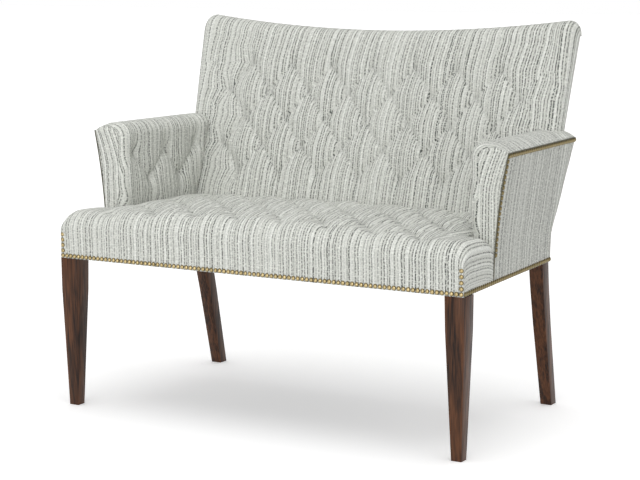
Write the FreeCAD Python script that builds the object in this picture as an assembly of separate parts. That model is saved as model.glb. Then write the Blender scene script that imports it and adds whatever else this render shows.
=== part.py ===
import FreeCAD, Part
import math
import os

# Two seat upholstered settee: tufted seat, back and arms over a hardwood frame.
# Millimetres, +Z up, the front faces -Y, origin on the floor below the middle of the body.
# Depths named "..._y" are measured back from the front face of the seat.

# Body outline at the rails
seat_front_width = 1031.0
seat_rear_width = 973.0
frame_depth = 514.0
rail_height = 60.0
rail_thickness = 26.0
panel_thickness = 3.0
sheet_thickness = 1.0
soft_gap = 0.3
cut_overrun = 60.0

# Legs
front_leg_top = 43.0
front_leg_shoulder = 45.2
front_leg_proud = 1.0
front_leg_set_back = 0.4
front_leg_knee = 43.5
front_leg_knee_height = 275.0
front_leg_foot = 24.0
front_leg_splay = 2.6
front_leg_kick = 1.4
rear_leg_width = 34.0
rear_leg_depth = 35.0
rear_foot_size = 27.6
rear_leg_rake = 83.5
rear_leg_toe_in = 5.0
rear_leg_toe_power = 4
rear_leg_sections = 8

# Joinery
tenon_length = 16.0
tenon_thickness = 10.0
tenon_height = 36.0
housing_depth = 8.0
cross_rail_thickness = 30.0
block_reach = 62.0
block_height = 38.0

# Tufting, common to seat and back
tuft_pitch = 112.6
tuft_rise_share = 0.25

# Seat pad
seat_side_height = 455.0
seat_rise_over_rail = 45.0
seat_crown = 22.0
seat_crown_y = 170.0
seat_crown_reach = 330.0
seat_front_roll = 40.0
seat_side_roll = 30.0
seat_roll_count = 3
seat_first_row_y = 45.0
seat_row_pitch = 65.0
seat_tuft_depth = 6.0
seat_foam_cover = 15.0
seat_foam_front_margin = 16.0
seat_foam_side_margin = 24.0
strap_width = 50.0
strap_thickness = 1.5
seat_strap_gap = 60.0

# Back pad
back_foot_depth = 49.0
back_lean = 16.0
back_frame_depth = 60.0
back_side_inset = 4.5
back_side_spread = 21.0
back_rise = 406.0
back_corner_rise = 31.0
back_side_roll = 20.0
back_roll_count = 2
back_top_roll = 30.0
back_top_bow = 22.0
back_rear_drop = 14.0
back_top_row_drop = 83.0
back_row_pitch = 65.0
back_rows = 5
back_tuft_depth = 6.0
back_cover_depth = 20.0
back_foam_depth = 10.0
back_foam_margin = 26.0
back_side_wall = 8.0
back_top_wall = 18.0
back_post_width = 34.0
back_rail_height = 58.0
back_low_rail_rise = 15.0
back_upright_width = 46.0
back_strap_gap = 88.0
outside_panel_inset = 1.5
outside_panel_drop = 16.0

# Arms
arm_front_y = 165.0
arm_rise = 176.0
arm_flare = 30.0
arm_flare_steps = 6
arm_crest = 16.0
arm_crown_bulge = 5.0
arm_front_thickness = 51.2
arm_rear_thickness = 41.3
arm_inner_swell = 6.0
arm_inner_roll = 26.0
arm_front_roll = 20.0
arm_roll_count = 2
arm_front_drop_share = 0.3
arm_top_row_drop = 53.0
arm_row_pitch = 65.0
arm_rows = 2
arm_first_tuft_y = 204.0
arm_tuft_pitch = 123.0
arm_tuft_depth = 6.0
arm_cover_depth = 14.0
arm_foam_depth = 8.0
arm_top_wall = 18.0
arm_front_wall = 6.0
arm_post_thickness = 30.0
arm_rail_height = 36.0
arm_low_rail_height = 30.0

# Nail trim
nail_diameter = 10.8
nail_pitch = 11.04
nail_height = 3.6
nail_sides = 6
nail_margin = 5.6
corner_nail_pitch = 12.2
corner_nail_steps = 3
nail_lift = 0.02

# Worked out from the values above
lean = math.tan(math.radians(back_lean))
rail_top = seat_side_height - seat_rise_over_rail
rail_bottom = rail_top - rail_height
deck_height = rail_top + 2 * strap_thickness
half_pitch = tuft_pitch / 2
half_front = seat_front_width / 2
half_rear = seat_rear_width / 2
side_taper = (half_front - half_rear) / frame_depth
back_front_y = frame_depth - back_foot_depth
back_low_half = half_rear - back_side_inset
back_high_half = back_low_half + back_side_spread
seat_roll_start = seat_side_height - seat_front_roll
seat_foam_top = seat_side_height - seat_foam_cover
back_middle_height = seat_side_height + back_rise
back_top_height = back_middle_height + back_corner_rise
back_top_row = back_middle_height - back_top_row_drop
back_low_rail_bottom = seat_side_height + back_low_rail_rise
arm_edge_height = seat_side_height + arm_rise
arm_top_row = arm_edge_height - arm_top_row_drop
back_web_depth = back_cover_depth + back_foam_depth
back_wood_depth = back_web_depth + 2 * strap_thickness
back_bend = seat_side_height + (frame_depth - back_front_y - back_frame_depth) / lean
rear_reach = (back_front_y + back_frame_depth + panel_thickness
              + lean * (back_top_height - outside_panel_drop - seat_side_height))
front_y = nail_height - (rear_reach + nail_height) / 2
quarter_bulge_share = (math.sqrt(2) - 1) / 2


def spot(x, y, z):
    return FreeCAD.Vector(x, front_y + y, z)


def side_x(y):
    """Half width of the body's outside at rail height."""
    return half_front - side_taper * y


def flare(z):
    """How far the arm's outer side has leaned out at a height."""
    share = (z - rail_bottom) / (arm_edge_height - rail_bottom)
    return arm_flare * share * share


def back_front(z):
    return back_front_y + lean * (z - seat_side_height)


def back_half(z):
    share = (z - deck_height) / (back_top_height - deck_height)
    return back_low_half + (back_high_half - back_low_half) * max(share, 0)


def back_crest(x):
    """Height of the top edge of the back, which dips in the middle."""
    share = x / (back_high_half - back_side_roll)
    return back_middle_height + back_corner_rise * min(share * share, 1)


def arm_inner(y):
    """Half width between the arms at seat height."""
    share = (y - arm_front_y) / (back_front_y - arm_front_y)
    return side_x(y) - arm_front_thickness - (arm_rear_thickness - arm_front_thickness) * share


def polygon(points):
    return Part.Face(Part.makePolygon(points + points[:1]))


def box(x0, x1, y0, y1, z0, z1):
    return Part.makeBox(x1 - x0, y1 - y0, z1 - z0, spot(x0, y0, z0))


def plan_prism(outline, z0, z1):
    """A plan outline of (x, y) points, raised from z0 to z1."""
    face = polygon([spot(x, y, z0) for x, y in outline])
    return face.extrude(FreeCAD.Vector(0, 0, z1 - z0))


def side_prism(outline, x0, x1):
    """A side outline of (y, z) points, carried from x0 to x1."""
    face = polygon([spot(x0, y, z) for y, z in outline])
    return face.extrude(FreeCAD.Vector(x1 - x0, 0, 0))


def mirrored(shape):
    return shape.mirror(FreeCAD.Vector(0, 0, 0), FreeCAD.Vector(1, 0, 0))


def fused(shapes):
    return shapes[0].fuse(shapes[1:]).removeSplitter()


def cut_by(shape, tools):
    for tool in tools:
        shape = shape.cut(tool)
    return shape


def bulged_wire(outline, place):
    """A closed wire of (u, v, bulge) points; a bulge bows the edge after its point outwards."""
    edges = []
    for (u, v, bulge), (next_u, next_v, _) in zip(outline, outline[1:] + outline[:1]):
        start = place(u, v)
        end = place(next_u, next_v)
        if bulge == 0:
            edges.append(Part.LineSegment(start, end).toShape())
            continue
        length = math.hypot(next_u - u, next_v - v)
        middle_u = (u + next_u) / 2 - (next_v - v) / length * bulge
        middle_v = (v + next_v) / 2 + (next_u - u) / length * bulge
        edges.append(Part.Arc(start, place(middle_u, middle_v), end).toShape())
    return Part.Wire(edges)


def quarter_bulge(u0, v0, u1, v1):
    """The bulge of a quarter turn between two points."""
    return quarter_bulge_share * math.hypot(u1 - u0, v1 - v0)


def roll_steps(radius, count):
    """Inset and drop of the sections that round an end over, from the full form outwards."""
    turns = [math.pi / 2 * number / count for number in range(count + 1)]
    return [(radius * (1 - math.sin(turn)), radius * (1 - math.cos(turn))) for turn in turns]


def tuft_columns(half_width):
    """Numbers of the half pitch columns that fit between two sides."""
    count = int(half_width / half_pitch - 1 / 2)
    return range(-count, count + 1)


# Seat pad


def seat_top(x, y):
    """Height of the seat between its tufts."""
    across = 1 - (x / arm_inner(arm_front_y)) ** 2
    along = 1 - ((y - seat_crown_y) / seat_crown_reach) ** 2
    return seat_side_height + seat_crown * max(across, 0) * max(along, 0)


def seat_section(x, drop, column):
    """Section of the seat pad at x; a column number gives it tufts."""
    row_count = int((back_front_y - seat_first_row_y) / seat_row_pitch) + 1
    swell = 0 if column is None else seat_tuft_depth * tuft_rise_share
    tops = []
    for row in range(row_count):
        y = seat_first_row_y + seat_row_pitch * row
        tufted = column is not None and (row + column) % 2 == 1
        tops.append((y, seat_top(x, y) - drop - (seat_tuft_depth if tufted else 0), swell))
    first_y, first_z, _ = tops[0]
    last_y, last_z, _ = tops.pop()
    end_y = back_front_y + cut_overrun
    roll = quarter_bulge(0, seat_roll_start, first_y, first_z)
    if drop == seat_side_roll:
        roll = 0
    outline = [(0, rail_bottom, 0), (0, seat_roll_start, roll)] + tops
    outline += [(last_y, last_z, 0), (end_y, last_z, 0), (end_y, rail_bottom, 0)]
    taper = math.copysign(side_taper, x) if column is None else 0
    return bulged_wire(outline, lambda y, z: spot(x - taper * y, y, z))


def seat_form():
    """The whole outside of the seat pad, before the arms and the back take their room."""
    columns = tuft_columns(arm_inner(back_front_y))
    places = [(half_pitch * column, 0, column) for column in columns]
    for inset, drop in roll_steps(seat_side_roll, seat_roll_count):
        places.append((half_front - inset, drop, None))
        places.insert(0, (inset - half_front, drop, None))
    return Part.makeLoft([seat_section(*place) for place in places], True, True)


def behind_back(offset):
    """Everything behind the front plane of the back, moved by an offset."""
    low = rail_bottom - cut_overrun
    high = back_top_height + cut_overrun
    far_y = back_front(high) + frame_depth
    outline = [(back_front(low) + offset, low), (far_y, low), (far_y, high),
               (back_front(high) + offset, high)]
    return side_prism(outline, -2 * half_front, 2 * half_front)


def arm_room():
    """The room that the seat pad leaves for the right arm."""
    near_y = arm_front_y - soft_gap
    far_y = frame_depth + cut_overrun
    wide = half_front + cut_overrun
    outline = [(arm_inner(near_y) + soft_gap, near_y), (wide, near_y), (wide, far_y),
               (arm_inner(far_y) + soft_gap, far_y)]
    return plan_prism(outline, rail_bottom - cut_overrun, back_middle_height)


def seat_foam_block(z0, z1):
    """Seat foam: wide in front of the arms, narrow between them."""
    wide = half_front - seat_foam_side_margin
    step = arm_front_y - seat_foam_side_margin
    rear = back_front_y - seat_foam_side_margin
    near_x = arm_inner(step) - seat_foam_side_margin
    far_x = arm_inner(rear) - seat_foam_side_margin
    right = [(wide, seat_foam_front_margin), (wide, step), (near_x, step), (far_x, rear)]
    return plan_prism(right + [(-x, y) for x, y in reversed(right)], z0, z1)


def seat_hollow():
    """The room under the seat cover for the rails, the legs and the webbing."""
    far_y = frame_depth + cut_overrun
    right = [(side_x(y) - panel_thickness, y) for y in (panel_thickness, far_y)]
    outline = right + [(-x, y) for x, y in reversed(right)]
    return plan_prism(outline, rail_bottom - cut_overrun, deck_height)


def make_seat_cover():
    room = arm_room()
    foam_room = seat_foam_block(rail_bottom, seat_foam_top)
    return cut_by(seat_form(), [behind_back(-soft_gap), room, mirrored(room), seat_hollow(), foam_room])


# Back pad


def back_section(inset, drop, column):
    """Section of the back pad, in a tuft column or at an inset from its leaning side."""
    if column is None:
        low_x = back_low_half - inset
        high_x = back_high_half - inset
    else:
        low_x = high_x = half_pitch * column
    top = back_crest(high_x) - drop
    swell = 0 if column is None else back_tuft_depth * tuft_rise_share
    outline = [(back_front(deck_height) + drop, deck_height, 0)]
    for row in reversed(range(back_rows)):
        z = back_top_row - back_row_pitch * row
        tufted = column is not None and (row + column) % 2 == 0
        outline.append((back_front(z) + drop + (back_tuft_depth if tufted else 0), z, swell))
    shoulder = top - back_top_roll
    edge = top - back_rear_drop
    bow = back_top_bow * (back_frame_depth - drop) / back_frame_depth
    outline.append((back_front(shoulder) + drop, shoulder, bow))
    outline.append((back_front(edge) + back_frame_depth, edge, 0))
    outline.append((back_front(deck_height) + back_frame_depth, deck_height, 0))
    return outline, low_x, high_x


def back_wire(outline, low_x, high_x):
    spread = (high_x - low_x) / (back_top_height - deck_height)
    return bulged_wire(outline, lambda y, z: spot(low_x + spread * (z - deck_height), y, z))


def back_form():
    """The whole outside of the back pad."""
    columns = tuft_columns(back_low_half - back_side_roll)
    wires = [back_wire(*back_section(0, 0, column)) for column in columns]
    for inset, drop in roll_steps(back_side_roll, back_roll_count):
        outline, low_x, high_x = back_section(inset, drop, None)
        wires.append(back_wire(outline, low_x, high_x))
        wires.insert(0, back_wire(outline, -low_x, -high_x))
    return Part.makeLoft(wires, True, True)


def back_slab(near, far, z0, z1, half_width):
    """A leaning slab between two offsets behind the front plane of the back."""
    outline = [(back_front(z0) + near, z0), (back_front(z0) + far, z0),
               (back_front(z1) + far, z1), (back_front(z1) + near, z1)]
    return side_prism(outline, -half_width, half_width)


def back_block(side_inset, top_inset, near, far, z0):
    """A leaning block with the front outline of the back, inset by the given walls."""
    corner_x = back_high_half - back_side_roll - side_inset
    corner_z = back_top_height - top_inset
    side_top = corner_z - back_side_roll
    high_x = back_half(side_top) - side_inset
    low_x = back_half(z0) - side_inset
    turn = -quarter_bulge(high_x, side_top, corner_x, corner_z)
    outline = [(low_x, z0, 0), (high_x, side_top, turn), (corner_x, corner_z, back_corner_rise),
               (-corner_x, corner_z, turn), (-high_x, side_top, 0), (-low_x, z0, 0)]
    face = Part.Face(bulged_wire(outline, lambda x, z: spot(x, 0, z)))
    body = face.extrude(FreeCAD.Vector(0, 2 * frame_depth, 0))
    return body.common(back_slab(near, far, z0, back_top_height + cut_overrun, 2 * half_front))


def back_room(grow, near, far):
    """The leaning room between the sides of the back, made wider by a margin."""
    low = rail_bottom - cut_overrun
    right = [(back_half(z) + grow, z) for z in (low, deck_height, back_top_height)]
    outline = [(x, z) for x, z in right] + [(-x, z) for x, z in reversed(right)]
    face = polygon([spot(x, 0, z) for x, z in outline])
    body = face.extrude(FreeCAD.Vector(0, 2 * frame_depth, 0))
    return body.common(back_slab(near, far, low, back_top_height, 2 * half_front))


def make_back_foam():
    return back_block(back_foam_margin, back_foam_margin, back_cover_depth, back_web_depth, deck_height)


def arm_rail_top():
    return arm_edge_height - arm_top_wall


def make_back_cover():
    low = rail_bottom
    depth = back_frame_depth + cut_overrun
    hollow = back_block(back_side_wall, back_top_wall, back_web_depth, depth, low)
    foam_room = back_block(back_foam_margin, back_foam_margin, back_cover_depth, depth, low)
    arm_rail_room = back_slab(back_web_depth, depth, low, arm_rail_top() + soft_gap, 2 * half_front)
    return cut_by(back_form(), [hollow, foam_room, arm_rail_room])


def make_outside_back_panel():
    upper = back_block(outside_panel_inset, outside_panel_drop, back_frame_depth,
                       back_frame_depth + panel_thickness, back_bend)
    half = back_low_half - outside_panel_inset
    lower = box(-half, half, frame_depth, frame_depth + panel_thickness, rail_bottom, back_bend)
    return fused([upper, lower])


# Seat frame


def rail_inner_x(y):
    return side_x(y) - panel_thickness - rail_thickness


def front_leg_corner():
    """Outer front corner of the right front leg."""
    return side_x(panel_thickness) - panel_thickness, panel_thickness


def rear_leg_corner():
    """Outer rear corner of the right rear leg at rail height."""
    return side_x(frame_depth) - panel_thickness, frame_depth


def tenon(x0, x1, y0, y1):
    low = rail_bottom + (rail_height - tenon_height) / 2
    return box(x0, x1, y0, y1, low, low + tenon_height)


def front_rail_tenon():
    """Tenon of the front rail in the right front leg."""
    outer_x, front = front_leg_corner()
    start = outer_x - front_leg_top
    middle = front + rail_thickness / 2
    return tenon(start, start + tenon_length, middle - tenon_thickness / 2, middle + tenon_thickness / 2)


def rear_rail_tenon():
    """Tenon of the rear rail in the right rear leg."""
    outer_x, rear = rear_leg_corner()
    start = outer_x - rear_leg_width
    middle = rear - rail_thickness / 2
    return tenon(start, start + tenon_length, middle - tenon_thickness / 2, middle + tenon_thickness / 2)


def side_rail_tenon(start):
    """Tenon of the right side rail that runs back from a depth."""
    middle = rail_inner_x(start) + rail_thickness / 2
    return tenon(middle - tenon_thickness / 2, middle + tenon_thickness / 2, start, start + tenon_length)


def side_rail_ends():
    """Depths of the rear face of the front leg and the front face of the rear leg."""
    return front_leg_corner()[1] + front_leg_top, rear_leg_corner()[1] - rear_leg_depth


def level_ring(x, y, z, wide, deep):
    corners = [(-wide, -deep), (wide, -deep), (wide, deep), (-wide, deep)]
    return [spot(x + dx / 2, y + dy / 2, z) for dx, dy in corners]


def stacked(rings):
    """A solid with flat sides between level rings of points, from the lowest up."""
    faces = [polygon(rings[0]), polygon(rings[-1])]
    for low, high in zip(rings, rings[1:]):
        for number in range(len(low)):
            faces.append(polygon([low[number - 1], low[number], high[number], high[number - 1]]))
    return Part.Solid(Part.Shell(faces))


def make_front_leg():
    """Front leg with its shoulder under the cover and its post between the rails."""
    x = half_front + front_leg_proud - front_leg_shoulder / 2
    y = front_leg_set_back + front_leg_shoulder / 2
    rings = []
    for z, size in ((0, front_leg_foot), (front_leg_knee_height, front_leg_knee),
                    (rail_bottom, front_leg_shoulder)):
        lower = 1 - z / rail_bottom
        rings.append(level_ring(x + front_leg_splay * lower, y + front_leg_kick * lower, z, size, size))
    outer_x, front = front_leg_corner()
    rear, _ = side_rail_ends()
    post = box(outer_x - front_leg_top, outer_x, front, rear, rail_bottom, rail_top)
    leg = fused([stacked(rings), post])
    return cut_by(leg, [front_rail_tenon(), side_rail_tenon(rear - tenon_length)])


def back_post():
    """Right post of the back, leaning with its outer side."""
    post_room = back_room(-back_side_wall - back_post_width, 0, back_frame_depth + cut_overrun)
    wood = back_block(back_side_wall, back_top_wall, back_wood_depth, back_frame_depth, deck_height)
    return wood.cut(post_room).common(behind_middle())


def behind_middle():
    """The right half of the world around the body."""
    return box(0, 2 * half_front, 0, 2 * frame_depth, 0, back_top_height)


def make_rear_leg():
    """Rear leg, rail joint and raked back post in one piece of wood."""
    outer_x, rear = rear_leg_corner()
    x = outer_x - rear_leg_width / 2
    y = rear - rear_leg_depth / 2
    rings = []
    for number in range(rear_leg_sections):
        share = number / (rear_leg_sections - 1)
        wide = rear_foot_size + (rear_leg_width - rear_foot_size) * share
        deep = rear_foot_size + (rear_leg_depth - rear_foot_size) * share
        rings.append(level_ring(x - rear_leg_toe_in * (1 - share ** rear_leg_toe_power),
                                y + rear_leg_rake * (1 - share),
                                rail_bottom * share, wide, deep))
    _, front = side_rail_ends()
    joint = box(outer_x - rear_leg_width, outer_x, front, rear, rail_bottom, rail_top)
    neck = box(outer_x - rear_leg_width, back_low_half - back_side_wall, back_front(deck_height)
               + back_wood_depth, rear, rail_top, deck_height)
    solid = fused([stacked(rings), joint, neck, back_post()])
    return cut_by(solid, [rear_rail_tenon(), side_rail_tenon(front)])


def cross_rail_block():
    front = front_leg_corner()[1] + rail_thickness - housing_depth
    rear = rear_leg_corner()[1] - rail_thickness + housing_depth
    half = cross_rail_thickness / 2
    return box(-half, half, front, rear, rail_bottom + housing_depth, rail_top)


def make_front_rail():
    outer_x, front = front_leg_corner()
    half = outer_x - front_leg_top
    rail = box(-half, half, front, front + rail_thickness, rail_bottom, rail_top)
    return fused([rail, front_rail_tenon(), mirrored(front_rail_tenon())]).cut(cross_rail_block())


def make_rear_rail():
    outer_x, rear = rear_leg_corner()
    half = outer_x - rear_leg_width
    rail = box(-half, half, rear - rail_thickness, rear, rail_bottom, rail_top)
    return fused([rail, rear_rail_tenon(), mirrored(rear_rail_tenon())]).cut(cross_rail_block())


def make_side_rail():
    near, far = side_rail_ends()
    outline = [(rail_inner_x(near), near), (rail_inner_x(near) + rail_thickness, near),
               (rail_inner_x(far) + rail_thickness, far), (rail_inner_x(far), far)]
    rail = plan_prism(outline, rail_bottom, rail_top)
    return fused([rail, side_rail_tenon(near - tenon_length), side_rail_tenon(far)])


def corner_block(leg_x, leg_y, rail_y, way):
    """Block glued behind a leg between two rails; way is 1 at the front and -1 at the rear."""
    outline = [(leg_x, rail_y), (leg_x - block_reach, rail_y),
               (rail_inner_x(leg_y + way * block_reach), leg_y + way * block_reach),
               (rail_inner_x(leg_y), leg_y), (leg_x, leg_y)]
    return plan_prism(outline, rail_top - block_height, rail_top)


def make_front_block():
    outer_x, front = front_leg_corner()
    return corner_block(outer_x - front_leg_top, side_rail_ends()[0], front + rail_thickness, 1)


def make_rear_block():
    outer_x, rear = rear_leg_corner()
    return corner_block(outer_x - rear_leg_width, side_rail_ends()[1], rear - rail_thickness, -1)


def make_dust_cover():
    right = [(side_x(y) - panel_thickness, y) for y in (panel_thickness, frame_depth)]
    sheet = plan_prism(right + [(-x, y) for x, y in reversed(right)],
                       rail_bottom - sheet_thickness, rail_bottom)
    near, far = side_rail_ends()
    front_room = box(front_leg_corner()[0] - front_leg_top - soft_gap, 2 * half_front, 0,
                     near + soft_gap, 0, rail_top)
    rear_room = box(rear_leg_corner()[0] - rear_leg_width - soft_gap, 2 * half_front,
                    far - soft_gap, 2 * frame_depth, 0, rail_top)
    return cut_by(sheet, [front_room, rear_room, mirrored(front_room), mirrored(rear_room)])


# Webbing


def strap_starts(low, high, gap):
    """Where evenly spaced straps start between two ends."""
    count = int((high - low) / (strap_width + gap))
    step = (high - low) / count
    margin = (step - strap_width) / 2
    return [low + margin + step * number for number in range(count)]


def make_seat_straps_deep():
    """Straps that run from the front rail to the rear rail."""
    front = front_leg_corner()[1]
    rear = rear_leg_corner()[1]
    half = rail_inner_x(rear)
    return Part.makeCompound([box(x, x + strap_width, front, rear, rail_top, rail_top + strap_thickness)
                              for x in strap_starts(-half, half, seat_strap_gap)])


def make_seat_straps_wide():
    """Straps that run from side rail to side rail, on the others."""
    low = front_leg_corner()[1] + rail_thickness
    high = back_front(deck_height)
    low_z = rail_top + strap_thickness
    pieces = []
    for y in strap_starts(low, high, seat_strap_gap):
        half = side_x(y + strap_width) - panel_thickness
        pieces.append(box(-half, half, y, y + strap_width, low_z, deck_height))
    return Part.makeCompound(pieces)


def back_post_inner(z):
    return back_half(z) - back_side_wall - back_post_width


def back_rail_underside(x):
    return back_crest(x) - back_top_wall - back_rail_height


def make_back_straps_tall():
    """Straps that run from the low rail to the top rail of the back."""
    low = back_low_rail_bottom
    half = back_post_inner(low)
    pieces = []
    for x in strap_starts(-half, half, back_strap_gap):
        inner = min(abs(x), abs(x + strap_width))
        high = back_rail_underside(inner) + back_rail_height / 2
        slab = back_slab(back_wood_depth - strap_thickness, back_wood_depth, low, high, half_front)
        pieces.append(slab.common(box(x, x + strap_width, 0, 2 * frame_depth, 0, back_top_height)))
    return Part.makeCompound([solid for piece in pieces for solid in piece.Solids])


def make_back_straps_wide():
    """Straps that run from post to post, in front of the others."""
    low = back_low_rail_bottom
    high = back_rail_underside(0)
    pieces = []
    for z in strap_starts(low, high, back_strap_gap):
        half = back_half(z) - back_side_wall - soft_gap
        pieces.append(back_slab(back_web_depth, back_web_depth + strap_thickness, z, z + strap_width, half))
    return Part.makeCompound(pieces)


# Back frame


def between_posts(near, far):
    return back_room(-back_side_wall - back_post_width, near, far)


def make_back_top_rail():
    """Rail under the dipped top edge, between the posts."""
    outer = back_block(back_side_wall, back_top_wall, back_wood_depth, back_frame_depth, deck_height)
    inner = back_block(back_side_wall, back_top_wall + back_rail_height, 0,
                       back_frame_depth + cut_overrun, deck_height)
    return outer.cut(inner).common(between_posts(back_wood_depth, back_frame_depth))


def make_back_low_rail():
    slab = back_slab(back_wood_depth, back_frame_depth, back_low_rail_bottom,
                     back_low_rail_bottom + back_rail_height, half_front)
    return slab.common(between_posts(back_wood_depth, back_frame_depth))


def make_back_upright():
    low = back_low_rail_bottom + back_rail_height
    slab = back_slab(back_wood_depth, back_frame_depth, low, back_middle_height, back_upright_width / 2)
    rail_band = back_block(back_side_wall, back_top_wall + back_rail_height, 0,
                           back_frame_depth + cut_overrun, deck_height)
    return slab.common(rail_band)


# Right arm


def arm_edge(y):
    """Points (x, z) up the flared outer side of the right arm at a depth."""
    step = (arm_edge_height - rail_bottom) / arm_flare_steps
    heights = [rail_bottom + step * number for number in range(arm_flare_steps + 1)]
    return [(side_x(y) + flare(z), z) for z in heights]


def taper_run():
    """The way from the front of an arm to behind the back, along the tapered side."""
    length = rear_reach + cut_overrun - arm_front_y
    return FreeCAD.Vector(-side_taper * length, length, 0)


def arm_envelope(inset):
    """Everything inside the outer side of the right arm, set in by a thickness."""
    side = [(x - inset, z) for x, z in arm_edge(arm_front_y)]
    high = arm_edge_height + cut_overrun
    outline = side + [(side[-1][0], high), (0, high), (0, rail_bottom)]
    return polygon([spot(x, arm_front_y, z) for x, z in outline]).extrude(taper_run())


def in_front_of_rear(offset):
    """Everything in front of the bent rear face of the body."""
    high = back_top_height
    outline = [(0, rail_bottom), (frame_depth + offset, rail_bottom), (frame_depth + offset, back_bend),
               (back_front(high) + back_frame_depth + offset, high), (0, high)]
    return side_prism(outline, 0, 2 * half_front)


def arm_outline(y, setback, column):
    """Section outline of the right arm pad at a depth; a column number gives it tufts."""
    inner = arm_inner(y) + setback
    face = inner - arm_inner_swell
    swell = 0 if column is None else arm_tuft_depth * tuft_rise_share
    outline = [(inner, deck_height, 0), (inner, arm_top_row - arm_row_pitch * arm_rows, swell)]
    for row in reversed(range(arm_rows)):
        tufted = column is not None and (row + column) % 2 == 0
        outline.append((face + (arm_tuft_depth if tufted else 0), arm_top_row - arm_row_pitch * row, swell))
    crest = arm_edge_height + arm_crest - setback * arm_front_drop_share
    shoulder = crest - arm_inner_roll
    outer = side_x(y) + arm_flare
    outline.append((face, shoulder, quarter_bulge(face, shoulder, face + arm_inner_roll, crest)))
    outline.append((face + arm_inner_roll, crest, arm_crown_bulge))
    return outline + [(outer, arm_edge_height, 0), (outer, deck_height, 0)]


def arm_form():
    """The whole outside of the right arm pad in front of the back."""
    rolls = reversed(roll_steps(arm_front_roll, arm_roll_count))
    places = [(arm_front_y + inset, drop, None) for inset, drop in rolls]
    half = arm_tuft_pitch / 2
    count = int((back_front_y - arm_first_tuft_y) / half) + 1
    places += [(arm_first_tuft_y + half * column, 0, column) for column in range(count)]
    wires = [bulged_wire(arm_outline(*place), lambda x, z, y=place[0]: spot(x, y, z)) for place in places]
    end_outline = arm_outline(frame_depth, 0, None)
    wires.append(bulged_wire(end_outline, lambda x, z: spot(x, back_front(z) - soft_gap, z)))
    return Part.makeLoft(wires, True, True)


def arm_tail():
    """The end of the right arm's top, beside the back."""
    crest = arm_edge_height + arm_crest
    outer = side_x(frame_depth) + arm_flare
    outline = [(back_half(deck_height) + soft_gap, deck_height), (back_half(crest) + soft_gap, crest),
               (outer, arm_edge_height), (outer, deck_height)]
    body = polygon([spot(x, 0, z) for x, z in outline]).extrude(FreeCAD.Vector(0, 2 * frame_depth, 0))
    return body.common(behind_back(-soft_gap))


def arm_layer(near, far, y0, z0, z1):
    """A standing layer inside the right arm between two depths behind its inner face."""
    far_y = rear_reach + cut_overrun
    outline = [(arm_inner(y0) + near, y0), (arm_inner(y0) + far, y0),
               (arm_inner(far_y) + far, far_y), (arm_inner(far_y) + near, far_y)]
    return plan_prism(outline, z0, z1)


def make_arm_cover():
    hollow = arm_layer(arm_cover_depth, 2 * half_front, arm_front_y + arm_front_wall,
                       rail_bottom, arm_rail_top())
    cover = fused([arm_form(), arm_tail()])
    return cover.common(arm_envelope(panel_thickness)).common(in_front_of_rear(0)).cut(hollow)


def make_arm_foam():
    layer = arm_layer(arm_cover_depth, arm_cover_depth + arm_foam_depth, arm_front_y + arm_front_wall,
                      deck_height, arm_rail_top())
    return layer.cut(behind_back(-soft_gap))


def make_arm_lining():
    depth = arm_cover_depth + arm_foam_depth
    layer = arm_layer(depth, depth + sheet_thickness, arm_front_y + arm_front_wall,
                      deck_height, arm_rail_top())
    return layer.cut(behind_back(-soft_gap))


def arm_wood(y0, y1, z0, z1):
    """Hardwood inside the right arm, between its lining and its outside panel."""
    depth = arm_cover_depth + arm_foam_depth + sheet_thickness
    layer = arm_layer(depth, 2 * half_front, y0, z0, z1)
    wood = layer.common(arm_envelope(panel_thickness)).common(in_front_of_rear(0))
    wood = wood.common(box(0, 2 * half_front, y0, y1, z0, z1))
    padding_room = back_room(soft_gap, -soft_gap, back_wood_depth)
    post_room = back_room(-back_side_wall, 0, back_frame_depth + cut_overrun)
    return cut_by(wood, [padding_room, post_room])


def make_arm_post():
    start = arm_front_y + arm_front_wall
    return arm_wood(start, start + arm_post_thickness, rail_top, arm_rail_top())


def make_arm_top_rail():
    start = arm_front_y + arm_front_wall + arm_post_thickness
    return arm_wood(start, rear_reach, arm_rail_top() - arm_rail_height, arm_rail_top())


def make_arm_low_rail():
    start = arm_front_y + arm_front_wall + arm_post_thickness
    return arm_wood(start, rear_reach, deck_height, deck_height + arm_low_rail_height)


def make_outside_arm_panel():
    """Outside panel of the right arm with its return behind the arm's rear end."""
    body = arm_envelope(0).cut(arm_envelope(panel_thickness))
    top_room = box(0, 2 * half_front, 0, 2 * frame_depth, arm_edge_height, back_top_height)
    side = body.common(in_front_of_rear(panel_thickness)).cut(top_room)
    closing = arm_envelope(0).common(in_front_of_rear(panel_thickness)).cut(in_front_of_rear(0))
    closing = closing.cut(top_room).cut(back_room(soft_gap, -frame_depth, 2 * frame_depth))
    return fused([side, closing])


# Nail trim


def nail(middle, normal, along):
    """A low domed nail head as a pyramid on its base."""
    across = normal.cross(along)
    base = middle + normal * nail_lift
    rim = []
    for number in range(nail_sides):
        turn = 2 * math.pi * number / nail_sides
        rim.append(base + (along * math.cos(turn) + across * math.sin(turn)) * (nail_diameter / 2))
    tip = base + normal * nail_height
    faces = [polygon([start, end, tip]) for start, end in zip(rim, rim[1:] + rim[:1])]
    return Part.Solid(Part.Shell(faces + [polygon(rim)]))


def nail_line(start, end, normal):
    """Nails set close together from one point to another."""
    run = end - start
    count = int(run.Length / nail_pitch)
    along = FreeCAD.Vector(run).normalize()
    return [nail(start + run * (number / count), normal, along) for number in range(count + 1)]


def trim_height():
    return rail_bottom + nail_margin


def make_front_nails():
    half = half_front - nail_margin
    return Part.makeCompound(nail_line(spot(-half, 0, trim_height()), spot(half, 0, trim_height()),
                                       FreeCAD.Vector(0, -1, 0)))


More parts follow.
